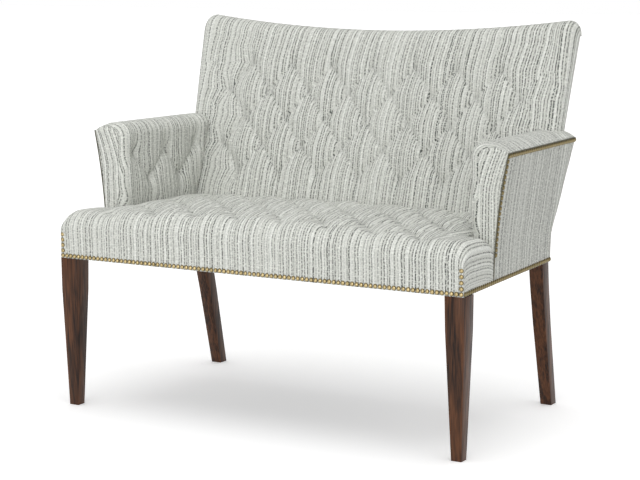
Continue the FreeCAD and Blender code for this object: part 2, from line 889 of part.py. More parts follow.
def make_corner_nails():
    x = half_front - nail_margin
    start = trim_height() + corner_nail_pitch
    end = start + corner_nail_steps * corner_nail_pitch
    nails = nail_line(spot(x, 0, start), spot(x, 0, end), FreeCAD.Vector(0, -1, 0))
    return Part.makeCompound(nails)


def side_normal():
    return FreeCAD.Vector(1, side_taper, 0).normalize()


def make_side_nails():
    end_y = frame_depth + panel_thickness - nail_margin
    return Part.makeCompound(nail_line(spot(side_x(nail_margin), nail_margin, trim_height()),
                                       spot(side_x(end_y), end_y, trim_height()), side_normal()))


def walk(points, length):
    """The place and the direction at a length along a line of points."""
    for start, end in zip(points, points[1:]):
        run = end - start
        if length <= run.Length:
            break
        length -= run.Length
    direction = FreeCAD.Vector(run).normalize()
    return start + direction * length, direction


def make_arm_nails():
    """Nails up the front edge and along the top edge of the outside arm panel."""
    near_y = arm_front_y + nail_margin
    far_y = back_front(arm_edge_height) + back_frame_depth + panel_thickness - nail_margin
    along = taper_run().normalize()
    edge = [spot(x, near_y, z) for x, z in arm_edge(near_y)]
    start = deck_height - rail_bottom
    end = sum((high - low).Length for low, high in zip(edge, edge[1:])) - nail_margin
    count = int((end - start) / nail_pitch)
    nails = []
    for number in range(count + 1):
        corner, tangent = walk(edge, start + (end - start) * number / count)
        normal = along.cross(tangent)
        nails.append(nail(corner, normal, tangent))
    length = (far_y - near_y) / along.y
    first = length / int(length / nail_pitch)
    nails += nail_line(corner + along * first, corner + along * length, normal)
    return Part.makeCompound(nails)


# Nodes

paired = {
    "front_{}_leg": make_front_leg,
    "rear_{}_leg": make_rear_leg,
    "{}_seat_rail": make_side_rail,
    "front_{}_corner_block": make_front_block,
    "rear_{}_corner_block": make_rear_block,
    "{}_arm_post": make_arm_post,
    "{}_arm_top_rail": make_arm_top_rail,
    "{}_arm_low_rail": make_arm_low_rail,
    "{}_arm_foam": make_arm_foam,
    "{}_arm_lining": make_arm_lining,
    "{}_arm_cover": make_arm_cover,
    "{}_outside_arm_panel": make_outside_arm_panel,
    "{}_corner_nails": make_corner_nails,
    "{}_side_nails": make_side_nails,
    "{}_arm_nails": make_arm_nails,
}

single = {
    "front_seat_rail": make_front_rail,
    "rear_seat_rail": make_rear_rail,
    "seat_cross_rail": cross_rail_block,
    "back_top_rail": make_back_top_rail,
    "back_low_rail": make_back_low_rail,
    "back_upright": make_back_upright,
    "seat_straps_deep": make_seat_straps_deep,
    "seat_straps_wide": make_seat_straps_wide,
    "back_straps_tall": make_back_straps_tall,
    "back_straps_wide": make_back_straps_wide,
    "seat_foam": lambda: seat_foam_block(deck_height, seat_foam_top),
    "back_foam": make_back_foam,
    "seat_cover": make_seat_cover,
    "back_cover": make_back_cover,
    "outside_back_panel": make_outside_back_panel,
    "dust_cover": make_dust_cover,
    "front_nails": make_front_nails,
}


def main():
    os.makedirs("parts", exist_ok=True)
    nodes = {name: make() for name, make in single.items()}
    for name, make in paired.items():
        shape = make()
        nodes[name.format("right")] = shape
        nodes[name.format("left")] = mirrored(shape)
    for name, shape in nodes.items():
        shape.exportStep("parts/" + name + ".step")


main()
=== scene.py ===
import math

import bmesh
import bpy
import numpy as np
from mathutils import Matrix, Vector


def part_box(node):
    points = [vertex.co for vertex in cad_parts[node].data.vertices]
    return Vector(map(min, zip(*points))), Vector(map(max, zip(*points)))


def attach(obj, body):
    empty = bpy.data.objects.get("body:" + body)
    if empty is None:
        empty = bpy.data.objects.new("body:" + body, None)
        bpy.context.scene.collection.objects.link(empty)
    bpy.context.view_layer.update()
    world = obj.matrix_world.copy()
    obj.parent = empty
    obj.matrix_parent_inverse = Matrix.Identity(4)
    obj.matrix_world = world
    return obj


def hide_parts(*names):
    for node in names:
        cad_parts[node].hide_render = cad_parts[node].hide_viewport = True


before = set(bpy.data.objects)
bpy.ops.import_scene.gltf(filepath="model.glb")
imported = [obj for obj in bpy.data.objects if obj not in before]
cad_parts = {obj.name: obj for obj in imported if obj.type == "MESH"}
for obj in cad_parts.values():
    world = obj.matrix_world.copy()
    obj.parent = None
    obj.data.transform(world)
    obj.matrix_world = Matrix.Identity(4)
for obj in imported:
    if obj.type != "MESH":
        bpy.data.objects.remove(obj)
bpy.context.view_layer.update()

bl_info = {
    "name": "Tufted settee",
    "version": (1, 0, 0),
    "blender": (4, 5, 0),
    "location": "3D View > Sidebar > Settee",
    "description": "Upholsters and finishes a tufted two seat settee around its frame",
    "category": "Add Mesh",
}

# Form of the settee in millimetres, as the frame has it. Depths are measured back
# from the front face of the seat; heights from the floor; half widths from the middle.

MM = 0.001
seat_low, seat_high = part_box("seat_cover")
panel_thick = 3.0
front_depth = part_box("front_seat_rail")[0].y / MM - panel_thick
half_front = seat_high.x / MM
rail_bottom = seat_low.z / MM
half_rear = 486.5
frame_depth = 514.0
deck_height = 413.0
seat_side = 455.0
seat_crown = 22.0
seat_crown_depth = 170.0
seat_crown_reach = 330.0
seat_roll_start = 415.0
seat_front_roll = 45.0
seat_side_roll = 30.0
back_foot = 465.0
back_lean = math.tan(math.radians(16.0))
back_thick = 60.0
back_low_half = 482.0
back_spread = 21.0
back_top = 892.0
back_middle = 861.0
back_roll = 20.0
back_shoulder = 30.0
back_drop = 14.0
rear_inset = 4.5
back_bend = 416.6
arm_front = 165.0
arm_edge = 631.0
arm_flare = 30.0
arm_crest = 647.0
arm_swell = 6.0
arm_inner_roll = 26.0
arm_front_roll = 20.0
arm_low_thick = 51.2
arm_rear_thick = 41.3
half_pitch = 56.3
arm_pitch = 61.5
row_pitch = 65.0
tuft_columns = 7
seat_tuft_rows = 7
back_tuft_rows = 5
back_top_row = back_middle - 83.0
arm_first_tuft = 204.0
arm_top_row = 578.0
pleat_reach = 80.0
seam_gap = 0.5
nail_margin = 5.6
nail_radius = 4.7
nail_points = 24
seam_radius = 1.3
side_taper = (half_front - half_rear) / frame_depth
sides = {"right": 1, "left": -1}

# Where the flat maps of the pieces lie on the pattern, so that the stripes fall as they should.

left_map_shift = 731.0
back_panel_map_shift = 391.0
arm_map_shift = 3.4
arm_tail_map_start = 640.0

# Painted shade on the back and the outer arms, as a share of a fold's painted shade: their colour is darkened
# because they take less of the light.

painted_plain_shade = 0.35


def ramp(value, start, width):
    """Share from 0 to 1 of the way that a value has gone from a start over a width."""
    return np.clip((value - start) / width, 0, 1)


def side_x(y):
    """Half width of the body's outside at a depth."""
    return half_front - side_taper * y


def flare(z):
    """How far the arm's outer side leans out at a height."""
    return arm_flare * (np.maximum(z - rail_bottom, 0) / (arm_edge - rail_bottom)) ** 2


def arm_side(y, z):
    """Half width of the arm's padded outside, which stands out a little more at the rear."""
    pad_out, pad_in = 7.0, 2.0
    rise, fall, rear = ramp(z, 405, 95), ramp(z, 575, 56), ramp(y, arm_front, 400)
    return side_x(y) + flare(z) + (pad_out * rise * rise * (3 - 2 * rise) - pad_in * fall) * rear


def back_front(z):
    """Depth of the back's front plane at a height."""
    return back_foot + back_lean * (z - seat_side)


def rear_face(z):
    """Depth of the face under the rear cloth at a height."""
    return np.where(z < back_bend, frame_depth, back_front(z) + back_thick) + panel_thick


def back_half(z):
    """Half width of the back at a height."""
    return back_low_half + back_spread * np.maximum(z - deck_height, 0) / (back_top - deck_height)


def back_crest(x):
    """Height of the dipped top edge of the back."""
    reach = back_low_half + back_spread - back_roll
    return back_middle + (back_top - back_middle) * np.minimum((x / reach) ** 2, 1)


def arm_inner(y):
    """Half width between the arms at a depth."""
    share = (y - arm_front) / (back_foot - arm_front)
    return side_x(y) - arm_low_thick + (arm_low_thick - arm_rear_thick) * share


def seat_top(x, y):
    """Height of the crowned seat."""
    across = np.maximum(1 - (x / arm_inner(arm_front)) ** 2, 0)
    along = np.maximum(1 - ((y - seat_crown_depth) / seat_crown_reach) ** 2, 0)
    return seat_side + seat_crown * across * along


# Settings that a user would change


def colour_setting(name, description, *colour):
    """A colour that shows in the panel."""
    return bpy.props.FloatVectorProperty(name=name, description=description, subtype="COLOR",
                                         size=4, min=0, max=1, default=colour + (1,))


def length_setting(name, description, length):
    """A length in metres that shows in the panel."""
    return bpy.props.FloatProperty(name=name, description=description, subtype="DISTANCE",
                                   unit="LENGTH", default=length)


class ClothSettings(bpy.types.PropertyGroup):
    """Colours and pattern of the striped cloth."""

    ground: colour_setting("Ground", "Colour between the stripes", 0.606, 0.616, 0.569)
    band: colour_setting("Pale stripe", "Colour of the pale stripes", 0.765, 0.777, 0.732)
    line: colour_setting("Dark thread", "Colour of the dark broken threads", 0.038, 0.044, 0.039)
    band_pitch: length_setting("Stripe spacing", "Usual distance between the pale stripes", 0.0165)
    line_pitch: length_setting("Thread spacing", "Usual distance between the dark threads", 0.0068)


class TuftSettings(bpy.types.PropertyGroup):
    """How the tufts and pleats draw the cloth in."""

    pinch: length_setting("Tuft depth", "How deep a tuft is drawn in", 0.0065)
    pinch_reach: length_setting("Tuft reach", "How far around a tuft the cloth dips", 0.011)
    pleat: length_setting("Pleat depth", "How deep the folds between the tufts are", 0.0035)
    pillow: length_setting("Pillow height", "How far the cloth swells between the pleats", 0.005)
    fold: length_setting("Cloth in a fold", "Width of cloth hidden in each pleat", 0.007)
    mesh_step: length_setting("Mesh step", "Distance between the points of the cloth's mesh", 0.0042)


class FinishSettings(bpy.types.PropertyGroup):
    """Wood, metal and floor."""

    wood_dark: colour_setting("Dark grain", "Colour of the dark grain of the legs", 0.011, 0.0038, 0.0016)
    wood_light: colour_setting("Light grain", "Colour of the light grain of the legs", 0.112, 0.042, 0.016)
    brass: colour_setting("Nail metal", "Colour of the nail heads", 0.57, 0.45, 0.235)
    floor: colour_setting("Floor", "Colour of the floor", 0.82, 0.82, 0.82)
    nail_diameter: length_setting("Nail head", "Diameter of a nail head", 0.0108)
    nail_dome: length_setting("Nail dome", "Height of a nail head", 0.0036)


# Node building


class Wire:
    """An output of a node. What is added to it, multiplied with it and so on is a Math node."""

    def __init__(self, tree, socket):
        self.tree, self.socket = tree, socket

    def __getitem__(self, name):
        """Another output of the same node."""
        return Wire(self.tree, self.socket.node.outputs[name])

    def math(self, operation, *values):
        """A Math node over this output and other values."""
        return put(self.tree, "ShaderNodeMath", dict(enumerate((self,) + values)), operation=operation)

    def __add__(self, other):
        return self.math("ADD", other)

    def __sub__(self, other):
        return self.math("SUBTRACT", other)

    def __mul__(self, other):
        return self.math("MULTIPLY", other)

    def __truediv__(self, other):
        return self.math("DIVIDE", other)

    def eased(self, low, high, to_low=0.0, to_high=1.0):
        """This value carried smoothly from one range to another."""
        return put(self.tree, "ShaderNodeMapRange", {"Value": self, "From Min": low, "From Max": high,
                                                     "To Min": to_low, "To Max": to_high},
                   interpolation_type="SMOOTHSTEP")

    def blend(self, first, second):
        """Two colours mixed, with this value as the second one's share."""
        return put(self.tree, "ShaderNodeMix", {0: self, 6: first, 7: second}, data_type="RGBA",
                   blend_type="MIX")[2]


def put(tree, kind, inputs=None, **settings):
    """The first output of a new node; each input is a value or another node's output."""
    made = tree.nodes.new(kind)
    for name, value in settings.items():
        setattr(made, name, value)
    for name, value in (inputs or {}).items():
        if isinstance(value, Wire):
            tree.links.new(value.socket, made.inputs[name])
        else:
            made.inputs[name].default_value = value
    return Wire(tree, made.outputs[0] if made.outputs else None)


def shaded(colour, value):
    """A colour made lighter or darker by a value."""
    grey = put(colour.tree, "ShaderNodeCombineXYZ", {"X": value, "Y": value, "Z": value})
    return put(colour.tree, "ShaderNodeMix", {0: 1.0, 6: colour, 7: grey}, data_type="RGBA",
               blend_type="MULTIPLY")[2]


def noise(place, scale, detail=2.0, dimensions="3D"):
    """Soft noise at a place; in one dimension the place is a number."""
    where = "W" if dimensions == "1D" else "Vector"
    return put(place.tree, "ShaderNodeTexNoise", {where: place, "Scale": scale, "Detail": detail},
               noise_dimensions=dimensions)


def cloth_noise(across, along, across_scale, along_scale, detail):
    """Soft noise over the flat cloth, with a scale for each of its ways."""
    place = put(across.tree, "ShaderNodeCombineXYZ", {"X": across * across_scale, "Y": along * along_scale})
    return noise(place, 1.0, detail)


def object_place(tree):
    """The place on a piece, in its own coordinates."""
    return put(tree, "ShaderNodeTexCoord")["Object"]


def parts_of(place):
    """A place's three coordinates."""
    return put(place.tree, "ShaderNodeSeparateXYZ", {0: place})


def mark(tree, name):
    """A value that the mesh carries."""
    return put(tree, "ShaderNodeAttribute", attribute_name=name)["Fac"]


def waves(place, scale):
    """A sine wave along each of a place's axes."""
    parts = parts_of(place)
    return [(parts[axis] * scale).math("SINE") for axis in range(3)]


def seen_by(tree, first, *others):
    """One where a ray is of one of the kinds named, else nothing."""
    path = put(tree, "ShaderNodeLightPath")
    seen = path[first]
    for kind in others:
        seen = seen.math("MAXIMUM", path[kind])
    return seen


def relief(height, depth):
    """Normals of the bumps that a height makes, as deep as given in metres."""
    return put(height.tree, "ShaderNodeBump", {"Height": height, "Distance": depth, "Strength": 1.0})


def sockets(tree, way, *named):
    """Adds sockets to a node group, each with a name, a kind and perhaps a default."""
    for label, kind, *default in named:
        socket = tree.interface.new_socket(label, in_out=way, socket_type="NodeSocket" + kind)
        if default:
            socket.default_value = default[0]


# Shared patterns


def effect(name, *inputs):
    """A node group for a colour, a roughness and a height; its tree and what it is given."""
    tree = bpy.data.node_groups.new(name, "ShaderNodeTree")
    sockets(tree, "INPUT", *inputs)
    sockets(tree, "OUTPUT", ("Color", "Color"), ("Roughness", "Float"), ("Height", "Float"))
    return tree, put(tree, "NodeGroupInput")


def strand(across, pitch, seed, narrow, wide):
    """Stripes one to a pitch, each with its own place, width and strength."""
    count = across / pitch + (100.0 + seed)
    cell = count.math("FLOOR")
    rolls = put(across.tree, "ShaderNodeTexWhiteNoise", {"W": cell}, noise_dimensions="1D")["Color"]
    dice = parts_of(rolls)
    away = (count - cell - dice[0].math("MULTIPLY_ADD", 0.44, 0.28)).math("ABSOLUTE")
    half = dice[1].math("MULTIPLY_ADD", wide - narrow, narrow)
    body = ((half - away) / (narrow * 0.6)).eased(-0.5, 0.5)
    return body * dice[2].math("MULTIPLY_ADD", 0.4, 0.6)


def striped_weave():
    """Pattern of the cloth: pale stripes, dark broken threads and a slubbed weave."""
    group = bpy.data.node_groups.get("striped_weave")
    if group:
        return group
    tree, given = effect(
        "striped_weave", ("Place", "Vector"), ("Ground", "Color"), ("Pale stripe", "Color"),
        ("Dark thread", "Color"), ("Stripe spacing", "Float", 0.0175), ("Thread spacing", "Float", 0.0078))
    parts = parts_of(given["Place"])
    across, along = parts[0], parts[1]
    across = cloth_noise(across, along, 60.0, 22.0, 1.0).math("MULTIPLY_ADD", 0.0024, across)
    stripe = strand(across, given["Stripe spacing"], 0.0, 0.10, 0.24)
    thread = strand(across, given["Thread spacing"], 2.7, 0.17, 0.27)
    thread *= cloth_noise(across, along, 300.0, 260.0, 0.0).eased(0.36, 0.56, 0.12, 1.0)
    thread *= stripe.eased(0.3, 0.9, 1.0, 0.25)
    tint = noise((across + 3.7) / given["Stripe spacing"], 3.1, 1.0, "1D").eased(0.35, 0.65, 0.0, 0.35)
    weft = cloth_noise(across, along, 55.0, 750.0, 2.0)
    slub = cloth_noise(across, along, 650.0, 170.0, 2.0)
    colour = tint.blend(given["Ground"], given["Pale stripe"])
    colour = (stripe * 0.85).blend(colour, given["Pale stripe"])
    colour = (thread * 0.92).blend(colour, given["Dark thread"])
    wear = weft.eased(0.3, 0.7, 0.84, 1.10) + slub.eased(0.3, 0.7, -0.12, 0.12)
    weave = (across * 4200.0).math("SINE") * (along * 5200.0).math("SINE") * 0.25
    height = thread.math("MULTIPLY_ADD", -0.7, weave) + slub.math("MULTIPLY_ADD", 0.8, weft * 0.6)
    put(tree, "NodeGroupOutput", {"Color": shaded(colour, wear), "Height": height,
                                  "Roughness": slub.eased(0.2, 0.8, 0.93, 0.80)})
    return tree


def wood_grain():
    """Grain that runs along the place's Z, with pores and slow bands of colour."""
    group = bpy.data.node_groups.get("wood_grain")
    if group:
        return group
    tree, given = effect("wood_grain", ("Place", "Vector"), ("Dark", "Color"), ("Light", "Color"))
    slow, fine = [put(tree, "ShaderNodeVectorMath", {0: given["Place"], 1: scales}, operation="MULTIPLY")
                  for scales in ((38.0, 38.0, 3.0), (420.0, 420.0, 14.0))]
    bands = noise(slow, 1.0, 4.0)
    pores = noise(fine, 1.0, 3.0)
    share = (bands * 26.0).math("SINE").eased(-1.0, 1.0, 0.1, 0.6) + pores.eased(0.35, 0.65, -0.1, 0.4)
    put(tree, "NodeGroupOutput", {"Color": share.blend(given["Dark"], given["Light"]),
                                  "Roughness": pores.eased(0.3, 0.7, 0.48, 0.30),
                                  "Height": pores.math("MULTIPLY_ADD", 0.5, bands * 0.3)})
    return tree


# Materials


def made_of(name, look, *values):
    """The material with a name, made once; a look function gives its Principled shader's inputs."""
    material = bpy.data.materials.get(name)
    if material:
        return material
    material = bpy.data.materials.new(name)
    material.use_nodes = True
    tree = material.node_tree
    tree.nodes.clear()
    shader = put(tree, "ShaderNodeBsdfPrincipled", look(tree, *values))
    put(tree, "ShaderNodeOutputMaterial", {"Surface": shader})
    return material


def cloth_look(tree):
    """Striped cloth that follows a piece's own "cloth" map, with painted shade in its folds."""
    cloth = bpy.context.scene.settee_cloth
    weave = put(tree, "ShaderNodeGroup", {
        "Place": put(tree, "ShaderNodeUVMap", uv_map="cloth"), "Ground": cloth.ground,
        "Pale stripe": cloth.band, "Dark thread": cloth.line, "Stripe spacing": cloth.band_pitch,
        "Thread spacing": cloth.line_pitch}, node_tree=striped_weave())
    # Painted shade: the fold mark darkens the cloth's colour by up to a fifth in its pleats and tuft pits.
    dark = mark(tree, "fold").eased(0.0, 1.0, 1.0, 0.80)
    return {"Base Color": shaded(weave["Color"], dark), "Roughness": weave["Roughness"],
            "Normal": relief(weave["Height"], 0.00035), "Sheen Weight": 0.08, "Sheen Roughness": 0.5,
            "Specular IOR Level": 0.2}


def wood_look(tree, dark, light, turn, gloss):
    """Wood whose grain runs along Z after the turn."""
    place = put(tree, "ShaderNodeMapping", {"Vector": object_place(tree), "Rotation": turn})
    grain = put(tree, "ShaderNodeGroup", {"Place": place, "Dark": dark, "Light": light},
                node_tree=wood_grain())
    return {"Base Color": grain["Color"], "Roughness": grain["Roughness"],
            "Normal": relief(grain["Height"], 0.0003), "Coat Weight": gloss, "Coat Roughness": 0.25,
            "Specular IOR Level": 0.22}


def brass_look(tree):
    """Old brass nail heads: pale on the dome, with painted shade round the rim, each a little different, and
    painted shade on the rows given a side shade.
    """
    metal = tuple(bpy.context.scene.settee_finish.brass)
    dull_and_shaded = tuple(part * share for part, share in zip(metal, (0.45, 0.46, 0.44))) + (1,)
    # Painted shade round the rim of each nail's dome.
    rim = (0.125, 0.098, 0.043, 1)
    patina = noise(object_place(tree), 320.0, 3.0)
    # The darker metal is picked by patina noise and by the tone mark, which holds random tone plus painted
    # side shade.
    worn = (patina.eased(0.35, 0.7, 0.0, 0.4) + mark(tree, "tone")).eased(0.0, 1.0).blend(metal, dull_and_shaded)
    return {"Base Color": mark(tree, "dome").eased(0.30, 0.86).blend(rim, worn), "Metallic": 1.0,
            "Roughness": patina.eased(0.3, 0.75, 0.28, 0.55), "Normal": relief(patina, 0.0002)}


def seam_look(tree):
    """Olive twisted seam cord with painted shade in its twist."""
    shadow, olive = (0.045, 0.042, 0.026, 1), (0.20, 0.19, 0.13, 1)
    place = object_place(tree)
    parts = parts_of(place)
    twist = (parts[2] * 2400.0 + parts[1] * 1800.0).math("SINE")
    fluff = noise(place, 700.0, 2.0)
    share = twist.eased(-1.0, 1.0, 0.0, 0.6) + fluff.eased(0.3, 0.7, 0.0, 0.4)
    return {"Base Color": share.blend(shadow, olive), "Roughness": fluff.eased(0.2, 0.8, 0.95, 0.8),
            "Normal": relief(twist, 0.0003)}


def foam_look(tree):
    """Cut foam with open pores, which hold painted shade."""
    deep, pale, aged = (0.42, 0.33, 0.16, 1), (0.74, 0.64, 0.42, 1), (0.62, 0.48, 0.26, 1)
    place = object_place(tree)
    pores = put(tree, "ShaderNodeTexVoronoi", {"Vector": place, "Scale": 380.0})["Distance"]
    # The deep colour at the pores is painted shade.
    colour = pores.eased(0.05, 0.5, 0.0, 1.0).blend(deep, pale)
    return {"Base Color": noise(place, 14.0, 3.0).eased(0.3, 0.7, 0.0, 0.3).blend(colour, aged),
            "Roughness": pores.eased(0.0, 0.5, 0.98, 0.8), "Normal": relief(pores, 0.0006)}


def webbing_look(tree):
    """Jute webbing: a coarse basket weave with fuzz on its threads."""
    shadow, jute = (0.10, 0.060, 0.028, 1), (0.42, 0.29, 0.15, 1)
    place = object_place(tree)
    first, second, third = waves(place, 1900.0)
    knots = first * second + first * third
    fuzz = noise(place, 260.0, 3.0)
    share = knots.eased(-1.2, 1.2, 0.1, 0.7) + fuzz.eased(0.3, 0.7, -0.1, 0.3)
    return {"Base Color": share.blend(shadow, jute), "Roughness": fuzz.eased(0.2, 0.8, 0.95, 0.78),
            "Normal": relief(fuzz.math("MULTIPLY_ADD", 0.5, knots), 0.0005)}


def lining_look(tree):
    """Thin black lining cloth with a fine weave and lint."""
    black, dusty = (0.012, 0.012, 0.013, 1), (0.075, 0.073, 0.070, 1)
    place = object_place(tree)
    first, second, third = waves(place, 2600.0)
    weave = first + second + third
    lint = noise(place, 90.0, 5.0)
    share = weave.eased(-2.0, 2.0, 0.0, 0.35) + lint.eased(0.5, 0.75, 0.0, 0.6)
    return {"Base Color": share.blend(black, dusty), "Roughness": lint.eased(0.3, 0.7, 0.72, 0.95),
            "Normal": relief(weave, 0.0002)}


def floor_look(tree):
    """Pale floor that looks white to the camera and still takes the shadow."""
    white, worn = (1, 1, 1, 1), (0.7, 0.7, 0.7, 1)
    colour = tuple(bpy.context.scene.settee_finish.floor)
    paint = noise(object_place(tree), 3.0, 2.0).eased(0.3, 0.7, 0.0, 0.02).blend(colour, worn)
    seen = seen_by(tree, "Is Camera Ray", "Is Glossy Ray", "Is Transmission Ray")
    return {"Base Color": seen.blend(paint, white), "Roughness": 0.9, "Emission Color": white,
            "Emission Strength": seen * 0.24}


# Cloth surfaces as grids of points


def stacked(*coordinates):
    """Points or flat places from their coordinates."""
    return np.stack(coordinates, axis=-1)


def spread(start, end, step):
    """Even values from start to end, about a step apart."""
    count = max(2, int(round(abs(end - start) / step)) + 1)
    return np.linspace(start, end, count)


def joined(*runs):
    """Runs of values end to end, each run's first value left out after the first run."""
    return np.concatenate([runs[0]] + [run[1:] for run in runs[1:]])


def arc_lengths(places, axis):
    """Distance along each line of a grid of points."""
    steps = np.linalg.norm(np.diff(places, axis=axis), axis=2)
    zero = np.zeros_like(np.take(steps, [0], axis=axis))
    return np.concatenate([zero, np.cumsum(steps, axis=axis)], axis=axis)


def outward(places, towards):
    """Unit normals of a grid of points, on the side of a direction."""
    normals = np.cross(np.gradient(places, axis=1), np.gradient(places, axis=0))
    normals /= np.maximum(np.linalg.norm(normals, axis=2, keepdims=True), 1e-9)
    middle = normals.reshape(-1, 3).mean(0)
    return normals if middle @ np.array(towards) > 0 else -normals


def pleats_between(tufts, reach):
    """The folds between neighbouring tufts, each with its strength at both ends."""
    found = []
    for number, first in enumerate(tufts):
        for second in tufts[number + 1:]:
            across = abs(first[0] - second[0])
            along = abs(first[1] - second[1])
            if 0 < across < reach and 0 < along < reach:
                found.append((first, second, 1.0, 1.0))
    return found


def gathered(across, along, tufts, open_pulls):
    """How far the pattern is drawn sideways to each tuft.

    The open cloth left and right of a row's end tufts has its own two pulls."""
    row_pull, row_height, row_fade = 8.0, 28.0, 22.0
    open_height, open_fade, tuft_fade = 40.0, 48.0, 6.0
    shift = np.zeros(across.shape)
    for a0, b0 in tufts:
        row = [a for a, b in tufts if abs(b - b0) < 1]
        side = np.sign(across - a0)
        is_open = ((a0 == min(row)) & (side < 0)) | ((a0 == max(row)) & (side > 0))
        gap = abs(across - a0)
        pull = np.where(is_open, np.where(side < 0, *open_pulls), row_pull)
        size = pull * np.exp(-gap / np.where(is_open, open_fade, row_fade))
        level = np.maximum(1 - abs(along - b0) / np.where(is_open, open_height, row_height), 0)
        shift += side * size * (1 - np.exp(-gap / tuft_fade)) * level
    return shift


def corners_of(values):
    """A grid's values at the four corners of each of its faces."""
    return stacked(values[:-1, :-1], values[:-1, 1:], values[1:, 1:], values[1:, :-1])


def leaning(across, along, tufts, pitch, lean):
    """Sideways lean of the stripes at each face's corners, in the upper half of its own pillow.

    A lean below zero is in the lower half. Each face keeps to one pillow, so the stripes break
    cleanly where a pleat hides cloth. Above the last row the cloth leans on as far as it goes."""
    across, along = corners_of(across), corners_of(along)
    middle_a, middle_b = across.mean(-1), along.mean(-1)
    nearest = np.full(middle_a.shape, 1.5)
    shift = np.zeros(across.shape)
    middles = {(round(a + side * pitch, 1), b) for a, b in tufts for side in (-1, 1)}
    middles -= {(round(a, 1), b) for a, b in tufts}
    last_row = max(b for _, b in tufts)
    for a0, b0 in sorted(middles):
        open_above = (b0 == last_row) & (middle_b > b0)
        away = abs(middle_a - a0) / pitch + np.where(open_above, 0, abs(middle_b - b0) / row_pitch)
        mine = away < nearest
        climb = np.clip((along[mine] - b0) / row_pitch * np.sign(lean), 0, 1)
        level = np.where(open_above[mine][:, None], 0, abs(along[mine] - b0) / row_pitch)
        spread_out = abs(across[mine] - a0) / pitch + level
        shift[mine] = -abs(lean) * climb ** 1.3 * np.clip(3.0 - 2.0 * spread_out, 0, 1)
        nearest[mine] = away[mine]
    return shift


def drawn_in(across, along, tufts, pleats, relief_share=1.0, open_pulls=(8.0, 8.0),
             puff=1.0, puff_reach=16.0):
    """Depth, swell, pattern shift and painted fold shade that tufts and pleats give each point.

    The swell is less than the whole pillow height within a reach of a pleat or tuft; a puff
    above 1 draws it in below the surface there."""
    valley_width, lip_width, pull_width = 6.0, 13.0, 26.0
    tufting = bpy.context.scene.settee_tufting
    near = np.full(across.shape, 1000.0)
    valley, lip, pit = np.zeros((3,) + across.shape)
    shift = np.zeros(across.shape + (2,))
    for (a0, b0), (a1, b1), start, end in pleats:
        run = np.array([a1 - a0, b1 - b0])
        length = np.hypot(*run)
        run = run / length
        share = np.clip(((across - a0) * run[0] + (along - b0) * run[1]) / length, 0, 1)
        side = (across - a0) * -run[1] + (along - b0) * run[0]
        if run[1] < 0:
            side = -side
        normal = np.array([-run[1], run[0]]) * (1 if run[1] >= 0 else -1)
        off_a = across - a0 - run[0] * length * share
        off_b = along - b0 - run[1] * length * share
        away = np.hypot(off_a, off_b)
        force = start * (1 - share) ** 1.7 + end * share ** 1.7
        near = np.minimum(near, away + 30 * (1 - np.minimum(force * 1.6, 1)))
        valley = np.maximum(valley, force * np.exp(-(away / valley_width) ** 2))
        lip += force * np.tanh(side / 4.0) * np.exp(-(away / lip_width) ** 2)
        pull = force * np.tanh(side / 3.0) * np.exp(-(away / pull_width) ** 2)
        shift += pull[..., None] * normal * np.sign(normal[0] or 1)
    for a0, b0 in tufts:
        away = np.hypot(across - a0, along - b0)
        pit = np.maximum(pit, np.exp(-(away / (tufting.pinch_reach / MM)) ** 1.2))
    calm = 1 - np.clip(pit * 1.25, 0, 1)
    pillow = 1 - puff * np.exp(-(near / puff_reach) ** 1.4)
    depth = (tufting.pinch / MM * pit + tufting.pleat / MM * valley * (1 - pit) - lip * 0.8) * relief_share
    # Painted shade in the pleat valleys and tuft pits, carried as the fold mark.
    fold = np.clip(0.5 * valley + 0.8 * pit ** 2, 0, 1)
    shift = shift * calm[..., None] * (tufting.fold / MM / 2)
    shift[..., 0] += gathered(across, along, tufts, open_pulls)
    return depth, tufting.pillow / MM * pillow, shift, fold


